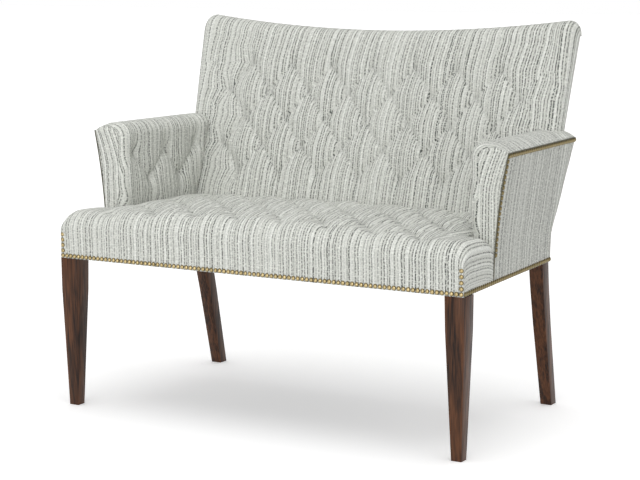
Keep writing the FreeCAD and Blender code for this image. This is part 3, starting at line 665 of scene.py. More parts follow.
class Skin:
    """Grids of cloth gathered into one mesh, with the cloth's own flat map in metres."""

    def __init__(self):
        self.places, self.maps, self.folds, self.faces, self.leans = [], [], [], [], []
        self.count = 0

    def add(self, places, flat, fold=None, lean=None):
        """Adds a grid of points with its flat map, painted fold shade and lean of the stripes."""
        rows, columns = places.shape[:2]
        numbers = self.count + np.arange(rows * columns).reshape(rows, columns)
        quads = corners_of(numbers)
        self.faces.append(quads.reshape(-1, 4))
        self.leans.append(np.zeros(quads.size) if lean is None else lean.reshape(-1))
        self.places.append(places.reshape(-1, 3))
        self.maps.append(np.asarray(flat, float).reshape(-1, 2))
        self.folds.append(np.zeros(rows * columns) if fold is None else fold.reshape(-1))
        self.count += rows * columns

    def mirrored(self):
        """The same skin on the left side."""
        other = Skin()
        other.places = [places * (-1, 1, 1) for places in self.places]
        other.maps = [flat + (left_map_shift, 0) for flat in self.maps]
        other.folds, other.faces, other.count = self.folds, self.faces, self.count
        other.leans = self.leans
        return other

    def mesh(self, name, inside):
        """One merged mesh whose faces look away from a point inside."""
        places = np.concatenate(self.places) * MM
        places[:, 1] += front_depth * MM
        faces = np.concatenate(self.faces)
        mesh = bpy.data.meshes.new(name)
        mesh.from_pydata(places.tolist(), [], faces.tolist())
        flat = np.concatenate(self.maps)[faces.reshape(-1)] * MM
        flat[:, 0] += np.concatenate(self.leans) * MM
        mesh.uv_layers.new(name="cloth").data.foreach_set("uv", flat.reshape(-1))
        # The fold mark is painted shade, which darkens the cloth's colour in the material.
        mesh.attributes.new("fold", "FLOAT", "POINT").data.foreach_set("value", np.concatenate(self.folds))
        shape = bmesh.new()
        shape.from_mesh(mesh)
        bmesh.ops.remove_doubles(shape, verts=shape.verts, dist=0.0002)
        bmesh.ops.dissolve_degenerate(shape, edges=shape.edges, dist=0.00005)
        bmesh.ops.recalc_face_normals(shape, faces=shape.faces)
        middle = Vector(inside) * MM + Vector((0, front_depth * MM, 0))
        outwards = sum(face.normal.dot(face.calc_center_median() - middle) * face.calc_area()
                       for face in shape.faces)
        if outwards < 0:
            bmesh.ops.reverse_faces(shape, faces=shape.faces)
        return smoothed(shape, mesh)


def smoothed(shape, mesh):
    """Writes an edited shape with smooth faces to its mesh."""
    for face in shape.faces:
        face.smooth = True
    shape.to_mesh(mesh)
    shape.free()
    return mesh


def linked(name, data):
    """A new object at the origin."""
    piece = bpy.data.objects.new(name, data)
    bpy.context.scene.collection.objects.link(piece)
    return piece


def placed(name, mesh, material):
    """A new object at the origin with one material."""
    mesh.materials.clear()
    mesh.materials.append(material)
    return linked(name, mesh)


def final_mesh(carrier):
    """The evaluated mesh of an object, which then goes."""
    graph = bpy.context.evaluated_depsgraph_get()
    mesh = bpy.data.meshes.new_from_object(carrier.evaluated_get(graph))
    bpy.data.objects.remove(carrier)
    return mesh


def walled(piece, thickness):
    """Closes an open skin with an inner wall."""
    wall = piece.modifiers.new("inner_wall", "SOLIDIFY")
    wall.thickness = thickness
    wall.offset = -1.0
    return piece


def hand_over(piece, slot, *nodes):
    """Lets a piece ride on the body and stand for CAD nodes; its slot is not used."""
    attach(piece, "root")
    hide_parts(*nodes)
    return piece


def mesh_step():
    step = bpy.context.scene.settee_tufting.mesh_step / MM
    return step


# Seat


def seat_tufts():
    """Tufts of the seat as (across, depth)."""
    return [(half_pitch * column, seat_front_roll + row_pitch * row) for row in range(seat_tuft_rows)
            for column in range(-tuft_columns, tuft_columns + 1) if (row + column) % 2 == 1]


def edge_pleats(tufts, level, reach, strength):
    """Short folds that run from the tufts of one row towards an edge."""
    return [((a, b), (a, b + reach), strength, 0.0) for a, b in tufts if abs(b - level) < 1]


def seat_profile(x, drop, step):
    """Depths and heights up the seat's front face, over its roll and along its top."""
    low = spread(rail_bottom, seat_roll_start, step)
    turn = spread(0, math.pi / 2, step / seat_front_roll)
    top = seat_top(x, seat_front_roll) - drop
    roll_y = seat_front_roll * (1 - np.cos(turn))
    roll_z = seat_roll_start + (top - seat_roll_start) * np.sin(turn)
    return low, roll_y, roll_z


def seat_column(x, drop, end_y, step, rest):
    """Points of the seat's skin at one distance from the middle, from the rail up and back."""
    low, roll_y, roll_z = seat_profile(x, drop, step)
    run = np.concatenate([seat_front_roll + (arm_front - seam_gap - seat_front_roll) * rest[0],
                          arm_front - seam_gap + (end_y - arm_front + seam_gap) * rest[1][1:]])
    if end_y <= arm_front:
        run = seat_front_roll + (end_y - seat_front_roll) * rest[0]
    y = joined(np.concatenate([np.zeros(len(low)), roll_y[1:]]), run)
    z = joined(np.concatenate([low, roll_z[1:]]), seat_top(x, run) - drop)
    return y, z


def tucked(distance, depth=11.0, reach=8.0):
    """How deep a pad dives where it meets its neighbour."""
    return depth * np.exp(-np.maximum(distance, 0) / reach)


def seat_run(places, column):
    """Distance along the seat's cloth at each point, as one column of points has it."""
    along = arc_lengths(places[:, column:column + 1], 0)
    start = np.argmax(places[:, 0, 1] >= seat_front_roll - 0.01)
    return np.repeat(along - along[start] + seat_front_roll, places.shape[1], axis=1)


def seat_skin():
    """Skin of the seat: front face, roll, tufted top and the flaps before the arms."""
    step = mesh_step()
    arm_dive, edge_fade, front_pleat = 14, 30, 46
    rest = (spread(0, 1, step / (arm_front - seat_front_roll)),
            spread(0, 1, step / (back_foot - arm_front)))
    middle_half = arm_inner(arm_front) - seam_gap
    skin = Skin()
    columns = []
    for x in spread(-middle_half, middle_half, step):
        end = back_front(seat_side + 4) - seam_gap
        y, z = seat_column(x, 0, end, step, rest)
        narrow = np.where(y > arm_front, arm_inner(y) / arm_inner(arm_front), 1)
        wide = x * narrow
        away = np.where(y > arm_front, arm_inner(y) - seam_gap - abs(wide), 1000)
        z = z - np.where(y > arm_front, tucked(away), 0) - tucked(end - y)
        columns.append(stacked(wide, y, z))
    places = np.stack(columns, axis=1)
    along = seat_run(places, places.shape[1] // 2)
    tufts = seat_tufts()
    pleats = pleats_between(tufts, pleat_reach) + edge_pleats(tufts, seat_front_roll, -front_pleat, 0.6)
    depth, swell, shift, fold = drawn_in(places[..., 0], along, tufts, pleats, 1.3,
                                         puff=2.0, puff_reach=25.0)
    lean = leaning(places[..., 0], along, tufts, half_pitch, 12.0)
    calm = ramp(along, -12, 40) * ramp(middle_half + 6 - abs(places[..., 0]), 0, edge_fade)
    swell = swell * seat_swell(along) * (1 - by_arm(places, middle_half))
    places[..., 2] -= arm_dive * by_arm(places, middle_half)
    places = places - outward(places, (0, -0.3, 1)) * (depth * calm - swell)[..., None]
    flat = stacked(places[..., 0] + shift[..., 0] * calm, along + shift[..., 1] * calm)
    skin.add(places, flat, fold * calm, lean)
    for side, edge in ((-1, places[:, 0]), (1, places[:, -1])):
        add_seat_side(skin, side, middle_half, step, rest, edge)
    return skin


def by_arm(places, middle_half):
    """Share of the dive that the cloth makes where it goes down beside and before an arm."""
    front_fade, rear_fade, width = 30, 60, 36
    before = np.exp(-np.maximum(arm_front - places[..., 1], 0) / front_fade)
    before *= np.exp(-np.maximum(places[..., 1] - arm_front, 0) / rear_fade)
    return before * ramp(abs(places[..., 0]) - middle_half, -width, width) ** 2


def seat_swell(along):
    """Share of the swell at a distance along the seat; none at the foot of the front face."""
    rise = ramp(along, -75, 90)
    return rise * rise * (3 - 2 * rise)


def add_seat_side(skin, side, start, step, rest, edge):
    """The seat's skin outside the arm's inner face: the side roll and the flap below it."""
    turns = spread(0, math.pi / 2, step / seat_side_roll)
    shoulder = half_front - seat_side_roll
    widths = [(x, 0, x) for x in spread(start, shoulder, step)]
    widths += [(half_front - seat_side_roll * (1 - math.sin(turn)),
                seat_side_roll * (1 - math.cos(turn)), shoulder + seat_side_roll * turn)
               for turn in turns[1:]]
    columns, across = [], []
    for x, drop, cloth in widths:
        y, z = seat_column(x, drop, arm_front - seam_gap, step, rest)
        lean = side_taper * ramp(x, start, shoulder - start)
        z = z - tucked(arm_front - y, 14.0, 30.0)
        columns.append(stacked(side * (x - lean * y), y, z))
        across.append(np.full(len(y), side * cloth))
    places = np.stack(columns, axis=1)
    across = np.stack(across, axis=1)
    along = seat_run(places, 0)
    drops = np.array([drop for _, drop, _ in widths]) / seat_side_roll
    swell = bpy.context.scene.settee_tufting.pillow / MM * seat_swell(along) * (1 - drops[None]) ** 0.7
    swell *= 1 - tucked(arm_front - places[..., 1], 1.0, 30.0)
    places = places + outward(places, (side * 0.2, -0.3, 1)) * swell[..., None]
    places[:, 0] = edge[:len(places)]
    skin.add(places, stacked(across, along))
    rows = int(np.argmax(places[:, -1, 1] > 0.001))
    rim = places[rows - 1:, -1]
    heights = np.linspace(0, 1, rows)
    flap = rim[None] * np.ones((rows, 1, 1))
    flap[..., 2] = rail_bottom + (rim[None, :, 2] - rail_bottom) * heights[:, None]
    fan = side * (shoulder + seat_side_roll * math.pi / 2) + side * (rim[None, :, 2] - flap[..., 2])
    skin.add(flap, stacked(fan, np.repeat(along[rows - 1:, -1][None], rows, axis=0)))


# Back


def back_tufts():
    """Tufts of the back as (across, height)."""
    return [(half_pitch * column, back_top_row - row_pitch * row) for row in range(back_tuft_rows)
            for column in range(-tuft_columns, tuft_columns + 1) if (row + column) % 2 == 0]


def back_arc(drop, step_count):
    """Depth and height, from the shoulder, of the rounded top edge of the back."""
    share = np.linspace(0, 1, step_count)[1:]
    across = (back_thick - drop) / back_thick
    points = [(drop, -back_shoulder), (drop, -2.0), (drop + 34 * across, -back_drop + 26),
              (back_thick, -back_drop)]
    weights = [(1 - share) ** 3, 3 * share * (1 - share) ** 2, 3 * share ** 2 * (1 - share), share ** 3]
    return [sum(point[way] * weight for point, weight in zip(points, weights)) for way in (0, 1)]


def back_column(place_x, crest_x, drop, rows, arc_count):
    """Points up the back's front and over its top, at a half width given for each height."""
    top = back_crest(crest_x) - drop
    shoulder = top - back_shoulder
    z = deck_height + (shoulder - deck_height) * rows
    depth, rise = back_arc(drop, arc_count)
    z = np.concatenate([z, top + rise])
    depth = np.concatenate([np.full(len(rows), float(drop)), depth])
    return stacked(place_x(np.minimum(z, shoulder + 14)), back_front(z) + depth, z)


def back_skin():
    """Skin of the back: tufted front, rounded top and sides, and the strips to the rear edge."""
    step = mesh_step()
    rows = spread(0, 1, step / (back_middle - back_shoulder - deck_height))
    crown_length, edge_fade = 78, 30
    arc_count = int(crown_length / step)
    turns = spread(0, math.pi / 2, step / back_roll)
    reach = back_low_half + back_spread - back_roll
    columns, offsets = [], []
    for share in spread(-1, 1, step / back_low_half):
        columns.append(back_column(lambda z, s=share: s * (back_half(z) - back_roll),
                                   share * reach, 0, rows, arc_count))
        offsets.append(0)
    for turn in turns[1:]:
        inset = back_roll * (1 - math.sin(turn))
        drop = back_roll * (1 - math.cos(turn))
        for side in (-1, 1):
            end = 0 if side < 0 else len(columns)
            columns.insert(end, back_column(lambda z, s=side, i=inset: s * (back_half(z) - i),
                                            reach, drop, rows, arc_count))
            offsets.insert(end, side * (back_roll * turn - (back_roll - inset)))
    places = np.stack(columns, axis=1)
    shoulder_row = len(rows) - 1
    arcs = arc_lengths(places, 0)
    heights = places[..., 2].copy()
    heights[shoulder_row:] = heights[shoulder_row] + arcs[shoulder_row:] - arcs[shoulder_row]
    across = places[..., 0] + np.array(offsets)[None]
    tufts = back_tufts()
    low_row = back_top_row - (back_tuft_rows - 1) * row_pitch
    pleats = pleats_between(tufts, pleat_reach) + edge_pleats(tufts, back_top_row, 62, 0.8)
    pleats += edge_pleats(tufts, low_row, -80, 0.8)
    depth, swell, shift, fold = drawn_in(places[..., 0], heights, tufts, pleats, 0.6, (32.0, 9.0))
    calm = ramp(back_half(places[..., 2]) - 8 - abs(places[..., 0]), 0, edge_fade)
    rear = back_front(places[..., 2]) + back_thick - places[..., 1]
    calm *= np.clip(rear / back_thick * 1.4 - 0.2, 0, 1)
    swell *= np.clip(rear / back_thick, 0, 1) ** 0.8
    places = places - outward(places, (0, -1, 0.3)) * (depth * calm - swell)[..., None]
    flat = stacked(across + shift[..., 0] * calm, heights + shift[..., 1] * calm)
    skin = Skin()
    lean = leaning(places[..., 0], heights, tufts, half_pitch, 10.5)
    # Painted shade: the whole back is darkened by the plain share, and its folds darker still.
    skin.add(places, flat, painted_plain_shade + (1 - painted_plain_shade) * fold * calm, lean)
    for side, edge, map_edge in ((-1, places[:, 0], flat[:, 0]), (1, places[:, -1], flat[:, -1])):
        add_back_strip(skin, side, edge, map_edge, len(rows), step)
    return skin


def add_back_strip(skin, side, edge, map_edge, shoulder_row, step):
    """The flat strip down the side of the back, from its roll to its rear edge."""
    rear = edge.copy()
    count = len(edge) - shoulder_row
    rear[shoulder_row:, 2] = np.linspace(edge[shoulder_row - 1, 2], edge[-1, 2], count + 1)[1:]
    rear[:, 1] = back_front(rear[:, 2]) + back_thick
    inset, bulge = 7.0, 3.0
    rear[:, 0] -= side * inset
    shares = spread(0, 1, step / (back_thick - back_roll))
    places = edge[:, None] + (rear - edge)[:, None] * shares[None, :, None]
    places[..., 0] += side * bulge * np.sin(math.pi * shares)[None] ** 0.8
    width = np.linalg.norm(rear - edge, axis=1)
    flat = np.repeat(map_edge[:, None], len(shares), axis=1)
    flat[..., 0] += side * width[:, None] * shares[None]
    skin.add(places, flat)


# Arms


def arm_tufts():
    """Tufts of an arm as (depth, height)."""
    return [(arm_first_tuft + arm_pitch * column, arm_top_row - row_pitch * row)
            for row in range(2) for column in range(5) if (row + column) % 2 == 0]


def arm_section(y, setback, step):
    """Half widths and heights over an arm pad, from its foot up and over to its outer edge."""
    inner = arm_inner(y) + setback
    face = inner - arm_swell
    crest = arm_crest - 0.3 * setback
    shoulder = crest - arm_inner_roll
    z = np.linspace(deck_height, shoulder, int((arm_crest - arm_inner_roll - deck_height) / step))
    swell_foot, swell_height, top_width, top_bulge = 448, 65, 62, 20
    ease = ramp(z, swell_foot, swell_height)
    x = inner - arm_swell * ease * ease * (3 - 2 * ease)
    turn = spread(0, math.pi / 2, step / arm_inner_roll)
    roll_x = face + arm_inner_roll * (1 - np.cos(turn))
    roll_z = shoulder + arm_inner_roll * np.sin(turn)
    outer = arm_side(y, arm_edge)
    share = np.linspace(0, 1, max(2, int(top_width / step)))
    top_x = face + arm_inner_roll + (outer - face - arm_inner_roll) * share
    top_z = crest + (arm_edge - crest) * share + top_bulge * share * (1 - share)
    return stacked(joined(x, roll_x, top_x), joined(z, roll_z, top_z)), len(z)


def arm_skin():
    """Skin of the right arm: tufted inner side, rolled top and the crowned front face."""
    step = mesh_step()
    full = arm_front + arm_front_roll
    turns = spread(math.pi / 2, 0, step / arm_front_roll)
    columns, across = [], []
    for turn in turns[:-1]:
        y = full - arm_front_roll * math.sin(turn)
        section, shoulder_row = arm_section(y, arm_front_roll * (1 - math.cos(turn)), step)
        columns.append(np.insert(section, 1, y, axis=1))
        across.append(full - arm_front_roll * turn)
    for share in spread(0, 1, step / (back_foot - full)):
        section, shoulder_row = arm_section(full, 0, step)
        end = back_front(section[:, 1]) - seam_gap
        y = full + (end - full) * share
        moved = [arm_section(depth, 0, step)[0][row] for row, depth in enumerate(y)]
        columns.append(np.insert(np.array(moved), 1, y, axis=1))
        across.append(None)
    places = np.stack(columns, axis=1)
    roll_count = len(turns) - 1
    flat_y = places[..., 1].copy()
    for number in range(roll_count):
        flat_y[:, number] = across[number]
    climb = arc_lengths(places[:, roll_count:roll_count + 1], 0) + deck_height
    climb = np.repeat(climb, places.shape[1], axis=1)
    tufts = arm_tufts()
    pleats = pleats_between(tufts, pleat_reach) + edge_pleats(tufts, arm_top_row, 62, 0.9)
    pleats += edge_pleats(tufts, arm_top_row - row_pitch, -64, 0.6)
    depth, swell, shift, fold = drawn_in(flat_y, climb, tufts, pleats, 1.6, puff=1.6, puff_reach=21.0)
    calm = ramp(flat_y, 166, 26) * ramp(692 - climb, 0, 30)
    swell *= ramp(flat_y, 150, 30) * ramp(climb[-1:] - climb, 0, 34)
    meets = np.clip(back_front(places[..., 2]) - seam_gap - places[..., 1], 0, None)
    inside = ramp(back_half(places[..., 2]) - places[..., 0], 0, 12)
    depth = depth * calm - swell + tucked(meets, 9.0) * inside
    places = places - outward(places, (-1, 0, 0.6)) * depth[..., None]
    flat = stacked(flat_y + arm_map_shift + shift[..., 0] * calm, climb + shift[..., 1] * calm)
    skin = Skin()
    skin.add(places, flat, fold * calm, leaning(flat_y, climb, tufts, arm_pitch, -18.0))
    add_arm_face(skin, places[:, 0], flat[:, 0], shoulder_row, step)
    add_arm_tail(skin, step)
    return skin


def add_arm_face(skin, rim, map_rim, shoulder_row, step):
    """The crowned front face of the arm, between its inner roll and its nailed edge.

    Its stripes turn sideways near the top, where the cloth goes over the roll."""
    turn_start, turn_height, turn_shift = 540.0, 95.0, 26.0
    face_width, crown, full_width = 52, 2.5, 45
    count = len(rim)
    heights = rim[:, 2].copy()
    heights[shoulder_row:] = np.linspace(rim[shoulder_row - 1, 2], arm_edge, count - shoulder_row + 1)[1:]
    edge = stacked(arm_side(arm_front, heights), np.full(count, arm_front), heights)
    shares = spread(0, 1, step / face_width)
    places = rim[:, None] + (edge - rim)[:, None] * shares[None, :, None]
    width = np.linalg.norm(edge - rim, axis=1)
    places[..., 1] -= 4 * shares * (1 - shares) * crown * ramp(width[:, None], 0, full_width)
    turn = ramp(places[..., 2], turn_start, turn_height) ** 1.6
    level = shoulder_row // 2
    across = map_rim[level, 0] - (places[..., 0] - rim[level, 0]) + turn_shift * turn
    skin.add(places, stacked(across, places[..., 2]))


def add_arm_tail(skin, step):
    """The end of the arm's top beside the back, which falls to the rear edge."""
    tail_width, overlap = 28, 8
    shares = spread(0, 1, step / tail_width)
    runs = spread(0, 1, step / back_thick)
    inner_x = back_half(arm_crest - 2) + seam_gap
    outer_x = arm_side(back_front(arm_edge), arm_edge)
    x = inner_x + (outer_x - inner_x) * shares
    z = arm_crest - 1 + (arm_edge - arm_crest + 1) * shares ** 1.4
    start = back_front(z) - seam_gap - overlap
    y = start[:, None] + (back_thick + seam_gap + overlap) * runs[None]
    wide = x[:, None] - side_taper * (y - start[:, None]) * shares[:, None]
    crown = 4 * shares[:, None] * (1 - shares[:, None]) * 4
    fall = 13 * np.maximum((runs[None] - 0.55) / 0.45, 0) ** 2 * (1 - shares[:, None])
    places = stacked(wide, y, z[:, None] + crown - fall)
    skin.add(places, stacked(y, arm_tail_map_start + wide - inner_x))


# Outside panels


def puffed(across, along, rise, margin=14.0):
    """How far a stretched panel swells at shares across and along, with flat edges."""
    return (rise * np.minimum(1, 4 * across * (1 - across) * margin / 8)
            * np.minimum(1, 4 * along * (1 - along) * margin / 8))


def arm_panel_skin():
    """Cloth over the right arm's outside, with its return behind the arm's end."""
    step = mesh_step() * 1.6
    panel_depth, return_width, rise, sunk = 360, 28, 1.6, 0.3
    heights = spread(rail_bottom, arm_edge, step)
    shares = spread(0, 1, step / panel_depth)
    y = arm_front + (rear_face(heights) - arm_front)[:, None] * shares[None]
    z = np.repeat(heights[:, None], len(shares), axis=1)
    swell = puffed(shares[None] * np.ones_like(z), (z - rail_bottom) / (arm_edge - rail_bottom), rise)
    x = arm_side(y, z) - sunk + swell
    skin = Skin()
    # Painted shade darkens the whole outer arm panel evenly.
    skin.add(stacked(x, y, z), stacked(y, z), np.full(x.shape, painted_plain_shade))
    corner = stacked(x[:, -1], y[:, -1], heights)
    inner = corner.copy()
    inner[:, 0] = np.minimum(back_half(heights) - rear_inset, corner[:, 0]) - seam_gap
    cross = spread(0, 1, step / return_width)
    places = corner[:, None] + (inner - corner)[:, None] * cross[None, :, None]
    skin.add(places, stacked(y[:, -1:] + (corner[:, :1] - places[..., 0]), places[..., 2]))
    return skin


def back_panel_skin():
    """Cloth over the outside of the back, from the bottom rail up to the top edge."""
    step = mesh_step() * 2
    half_width, height, rise, sunk, corner_start = 490, 515, 1.8, 0.3, 0.9
    shares = spread(-1, 1, step / half_width)
    levels = spread(0, 1, step / height)
    reach = back_low_half + back_spread - back_roll
    top = back_crest(shares * reach) - 16
    z = rail_bottom + (top - rail_bottom)[None] * levels[:, None]
    corner = np.maximum(abs(shares)[None] * (back_half(z) - 1.5) - (back_half(z) - back_roll), 0)
    fall = np.where(levels[:, None] > corner_start, (levels[:, None] - corner_start) / 0.1, 0)
    z = z - fall * (back_roll - np.sqrt(np.maximum(back_roll ** 2 - corner ** 2, 0))) * 0.9
    x = shares[None] * (back_half(z) - rear_inset - 2 * seam_gap)
    swell = puffed((shares[None] + 1) / 2 * np.ones_like(z), levels[:, None] * np.ones_like(z), rise)
    skin = Skin()
    skin.add(stacked(x, rear_face(z) - sunk + swell, z), stacked(x + back_panel_map_shift, z))
    return skin


# Nails


def nail_tree():
    """Geometry nodes: domed nail heads set along a line, each turned to face outwards."""
    tree = bpy.data.node_groups.get("nail_row")
    if tree:
        return tree
    tree = bpy.data.node_groups.new("nail_row", "GeometryNodeTree")
    sockets(tree, "INPUT", ("Line", "Geometry"), ("Count", "Int", 10), ("Diameter", "Float", 0.0108),
            ("Dome", "Float", 0.0036), ("Tilt", "Float", 0.10), ("Patina", "Float", 0.0),
            ("Metal", "Material"))
    sockets(tree, "OUTPUT", ("Nails", "Geometry"))
    given = put(tree, "NodeGroupInput")
    radius = given["Diameter"] * 0.5
    ball = put(tree, "GeometryNodeMeshUVSphere", {"Segments": 10, "Rings": 6, "Radius": radius})
    level = parts_of(put(tree, "GeometryNodeInputPosition"))[2]
    under = put(tree, "FunctionNodeCompare", {0: level, 1: -0.0001}, data_type="FLOAT", operation="LESS_THAN")
    cap = put(tree, "GeometryNodeDeleteGeometry", {0: ball["Mesh"], 1: under})
    squash = put(tree, "ShaderNodeCombineXYZ", {0: 1.0, 1: 1.0, 2: given["Dome"] / radius})
    # The dome mark sets where the painted rim shade falls.
    marked = put(tree, "GeometryNodeStoreNamedAttribute", {0: cap, "Name": "dome", "Value": level / radius},
                 data_type="FLOAT", domain="POINT")
    head = put(tree, "GeometryNodeTransform", {0: marked, "Scale": squash})
    line = put(tree, "GeometryNodeMeshToCurve", {0: given["Line"]})
    even = put(tree, "GeometryNodeResampleCurve", {0: line, "Count": given["Count"]})
    facing = put(tree, "GeometryNodeInputNamedAttribute", {0: "outward"}, data_type="FLOAT_VECTOR")
    turned = put(tree, "FunctionNodeAlignRotationToVector", {"Vector": facing}, axis="Z")
    lean = put(tree, "ShaderNodeCombineXYZ", {0: given["Tilt"], 1: given["Tilt"], 2: 3.1})
    back = put(tree, "ShaderNodeVectorMath", {0: lean, 1: (-1.0, -1.0, -1.0)}, operation="MULTIPLY")
    wobble = put(tree, "FunctionNodeRandomValue", {0: back, 1: lean, "Seed": 7}, data_type="FLOAT_VECTOR")
    wobble_turn = put(tree, "FunctionNodeEulerToRotation", {0: wobble})
    pose = put(tree, "FunctionNodeRotateRotation", {0: turned, 1: wobble_turn}, rotation_space="LOCAL")
    size = put(tree, "FunctionNodeRandomValue", {2: 0.95, 3: 1.04, "Seed": 11}, data_type="FLOAT")[1]
    many = put(tree, "GeometryNodeInstanceOnPoints", {"Points": even, "Instance": head, "Rotation": pose,
                                                     "Scale": size})
    tone = put(tree, "FunctionNodeRandomValue", {2: 0.0, 3: 0.3, "Seed": 3}, data_type="FLOAT")[1]
    # Stored tone is random for each nail, plus the row's painted side shade.
    toned = put(tree, "GeometryNodeStoreNamedAttribute",
                {0: many, "Name": "tone", "Value": tone + given["Patina"]},
                data_type="FLOAT", domain="INSTANCE")
    real = put(tree, "GeometryNodeRealizeInstances", {0: toned})
    smooth = put(tree, "GeometryNodeSetShadeSmooth", {0: real})
    metal = put(tree, "GeometryNodeSetMaterial", {0: smooth, "Material": given["Metal"]})
    put(tree, "NodeGroupOutput", {"Nails": metal})
    return tree


def nail_row(name, points, normals, count, metal, patina):
    """One mesh of nail heads along a line of points, each facing as the line's normal there."""
    finish = bpy.context.scene.settee_finish
    line = bpy.data.meshes.new(name + "_line")
    places = np.array(points, float) * MM + np.array((0, front_depth, 0)) * MM
    line.from_pydata(places.tolist(), [(n, n + 1) for n in range(len(points) - 1)], [])
    line.attributes.new("outward", "FLOAT_VECTOR", "POINT").data.foreach_set(
        "vector", np.array(normals, float).reshape(-1))
    carrier = linked(name + "_line", line)
    layer = carrier.modifiers.new("nails", "NODES")
    layer.node_group = nail_tree()
    # The patina value is painted shade that darkens the whole row.
    values = {"Count": count, "Diameter": finish.nail_diameter, "Dome": finish.nail_dome,
              "Patina": patina, "Metal": metal}
    for item in layer.node_group.interface.items_tree:
        if item.in_out == "INPUT" and item.name in values:
            layer[item.identifier] = values[item.name]
    bpy.context.view_layer.update()
    return final_mesh(carrier)


# Rigid and hidden parts


def eased_copy(node, width, segments):
    """A copy of a CAD node's mesh with its sharp edges rounded by a width in metres."""
    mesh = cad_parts[node].data.copy()
    shape = bmesh.new()
    shape.from_mesh(mesh)
    bmesh.ops.remove_doubles(shape, verts=shape.verts, dist=0.00001)
    bmesh.ops.dissolve_limit(shape, angle_limit=math.radians(1), verts=shape.verts, edges=shape.edges)
    sharp = [edge for edge in shape.edges if len(edge.link_faces) == 2
             and edge.calc_face_angle(0) > math.radians(30)]
    bmesh.ops.bevel(shape, geom=sharp, offset=width, segments=segments, profile=0.5,
                    affect="EDGES", clamp_overlap=True)
    return smoothed(shape, mesh)


def arm_line_end():
    """Depth at which the nails and the seam along the arm's top edge end."""
    return back_front(arm_edge) + back_thick + panel_thick - nail_margin


def dress(nodes, material):
    """Gives CAD nodes that stay a material."""
    for name in nodes:
        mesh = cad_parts[name].data
        mesh.materials.clear()
        mesh.materials.append(material)


# Operators


class SETTEE_OT_stage(bpy.types.Operator):
    """Set up the camera, the lamps and the floor"""

    bl_idname = "settee.stage"
    bl_label = "Stage"

    def execute(self, context):
        scene = context.scene
        camera = bpy.data.cameras.new("view")
        camera.lens = 103.07
        camera.sensor_width = 36
        holder = linked("view", camera)
        holder.location = (2.102, -3.6516, 1.027)
        holder.rotation_euler = (math.radians(81.37), 0, math.radians(30.04))
        scene.camera = holder
        for name, turn, strength, width in (("front", (85, 0, 10), 1.95, 60), ("side", (65, 0, 80), 0.31, 60),
                                            ("top", (4, 0, 0), 0.91, 50)):
            lamp = bpy.data.lights.new(name, "SUN")
            lamp.energy = strength
            lamp.angle = math.radians(width)
            linked(name, lamp).rotation_euler = [math.radians(angle) for angle in turn]
        self.light_room(scene)
        floor = self.floor_mesh()
        placed("floor", floor, made_of("floor_paint", floor_look))
        scene.view_settings.view_transform = "Standard"
        return {"FINISHED"}

    def light_room(self, scene):
        """Soft light from all sides, with a white view behind everything."""
        world = bpy.data.worlds.new("room")
        scene.world = world
        world.use_nodes = True
        tree = world.node_tree
        tree.nodes.clear()
        seen = seen_by(tree, "Is Camera Ray", "Is Transmission Ray")
        strength = seen.eased(0.0, 1.0, 0.55, 1.0)
        light = put(tree, "ShaderNodeBackground", {"Color": (1, 1, 1, 1), "Strength": strength})
        put(tree, "ShaderNodeOutputWorld", {"Surface": light})

    def floor_mesh(self):
        """One wide face just below the legs."""
        mesh = bpy.data.meshes.new("floor")
        reach, level = 30.0, -0.0002
        corners = [(x * reach, y * reach, level) for x, y in ((-1, -1), (1, -1), (1, 1), (-1, 1))]
        mesh.from_pydata(corners, [], [(0, 1, 2, 3)])
        return mesh


class SETTEE_OT_seat_pad(bpy.types.Operator):
    """Make the tufted seat"""

    bl_idname = "settee.seat_pad"
    bl_label = "Seat pad"

    def execute(self, context):
        mesh = seat_skin().mesh("seat_pad", (0, 220, 380))
        piece = walled(placed("seat_pad", mesh, made_of("cover_fabric_weave", cloth_look)), 0.005)
        hand_over(piece, "cover_fabric", "seat_cover")
        return {"FINISHED"}


class SETTEE_OT_back_pad(bpy.types.Operator):
    """Make the tufted back"""

    bl_idname = "settee.back_pad"
    bl_label = "Back pad"

    def execute(self, context):
        mesh = back_skin().mesh("back_pad", (0, 560, 600))
        piece = walled(placed("back_pad", mesh, made_of("cover_fabric_weave", cloth_look)), 0.005)
        hand_over(piece, "cover_fabric", "back_cover")
        return {"FINISHED"}


class SETTEE_OT_arm_pads(bpy.types.Operator):
    """Make the tufted arms"""

    bl_idname = "settee.arm_pads"
    bl_label = "Arm pads"

    def execute(self, context):
        right = arm_skin()
        cloth = made_of("cover_fabric_weave", cloth_look)
        for name, skin, side in (("right", right, 1), ("left", right.mirrored(), -1)):
            mesh = skin.mesh(name + "_arm_pad", (side * 495, 340, 500))
            piece = walled(placed(name + "_arm_pad", mesh, cloth), 0.004)
            hand_over(piece, "cover_fabric", name + "_arm_cover")
        return {"FINISHED"}


class SETTEE_OT_outside_panels(bpy.types.Operator):
    """Make the cloth panels outside the arms and the back"""

    bl_idname = "settee.outside_panels"
    bl_label = "Outside panels"

    def execute(self, context):
        cloth = made_of("panel_fabric_weave", cloth_look)
        right = arm_panel_skin()
        panels = [("right_outside_arm", right, (400, 300, 500), "right_outside_arm_panel"),
                  ("left_outside_arm", right.mirrored(), (-400, 300, 500), "left_outside_arm_panel"),
                  ("outside_back", back_panel_skin(), (0, 400, 600), "outside_back_panel")]
        for name, skin, inside, node in panels:
            piece = walled(placed(name + "_cloth", skin.mesh(name, inside), cloth), 0.0025)
            hand_over(piece, "panel_fabric", node)
        return {"FINISHED"}


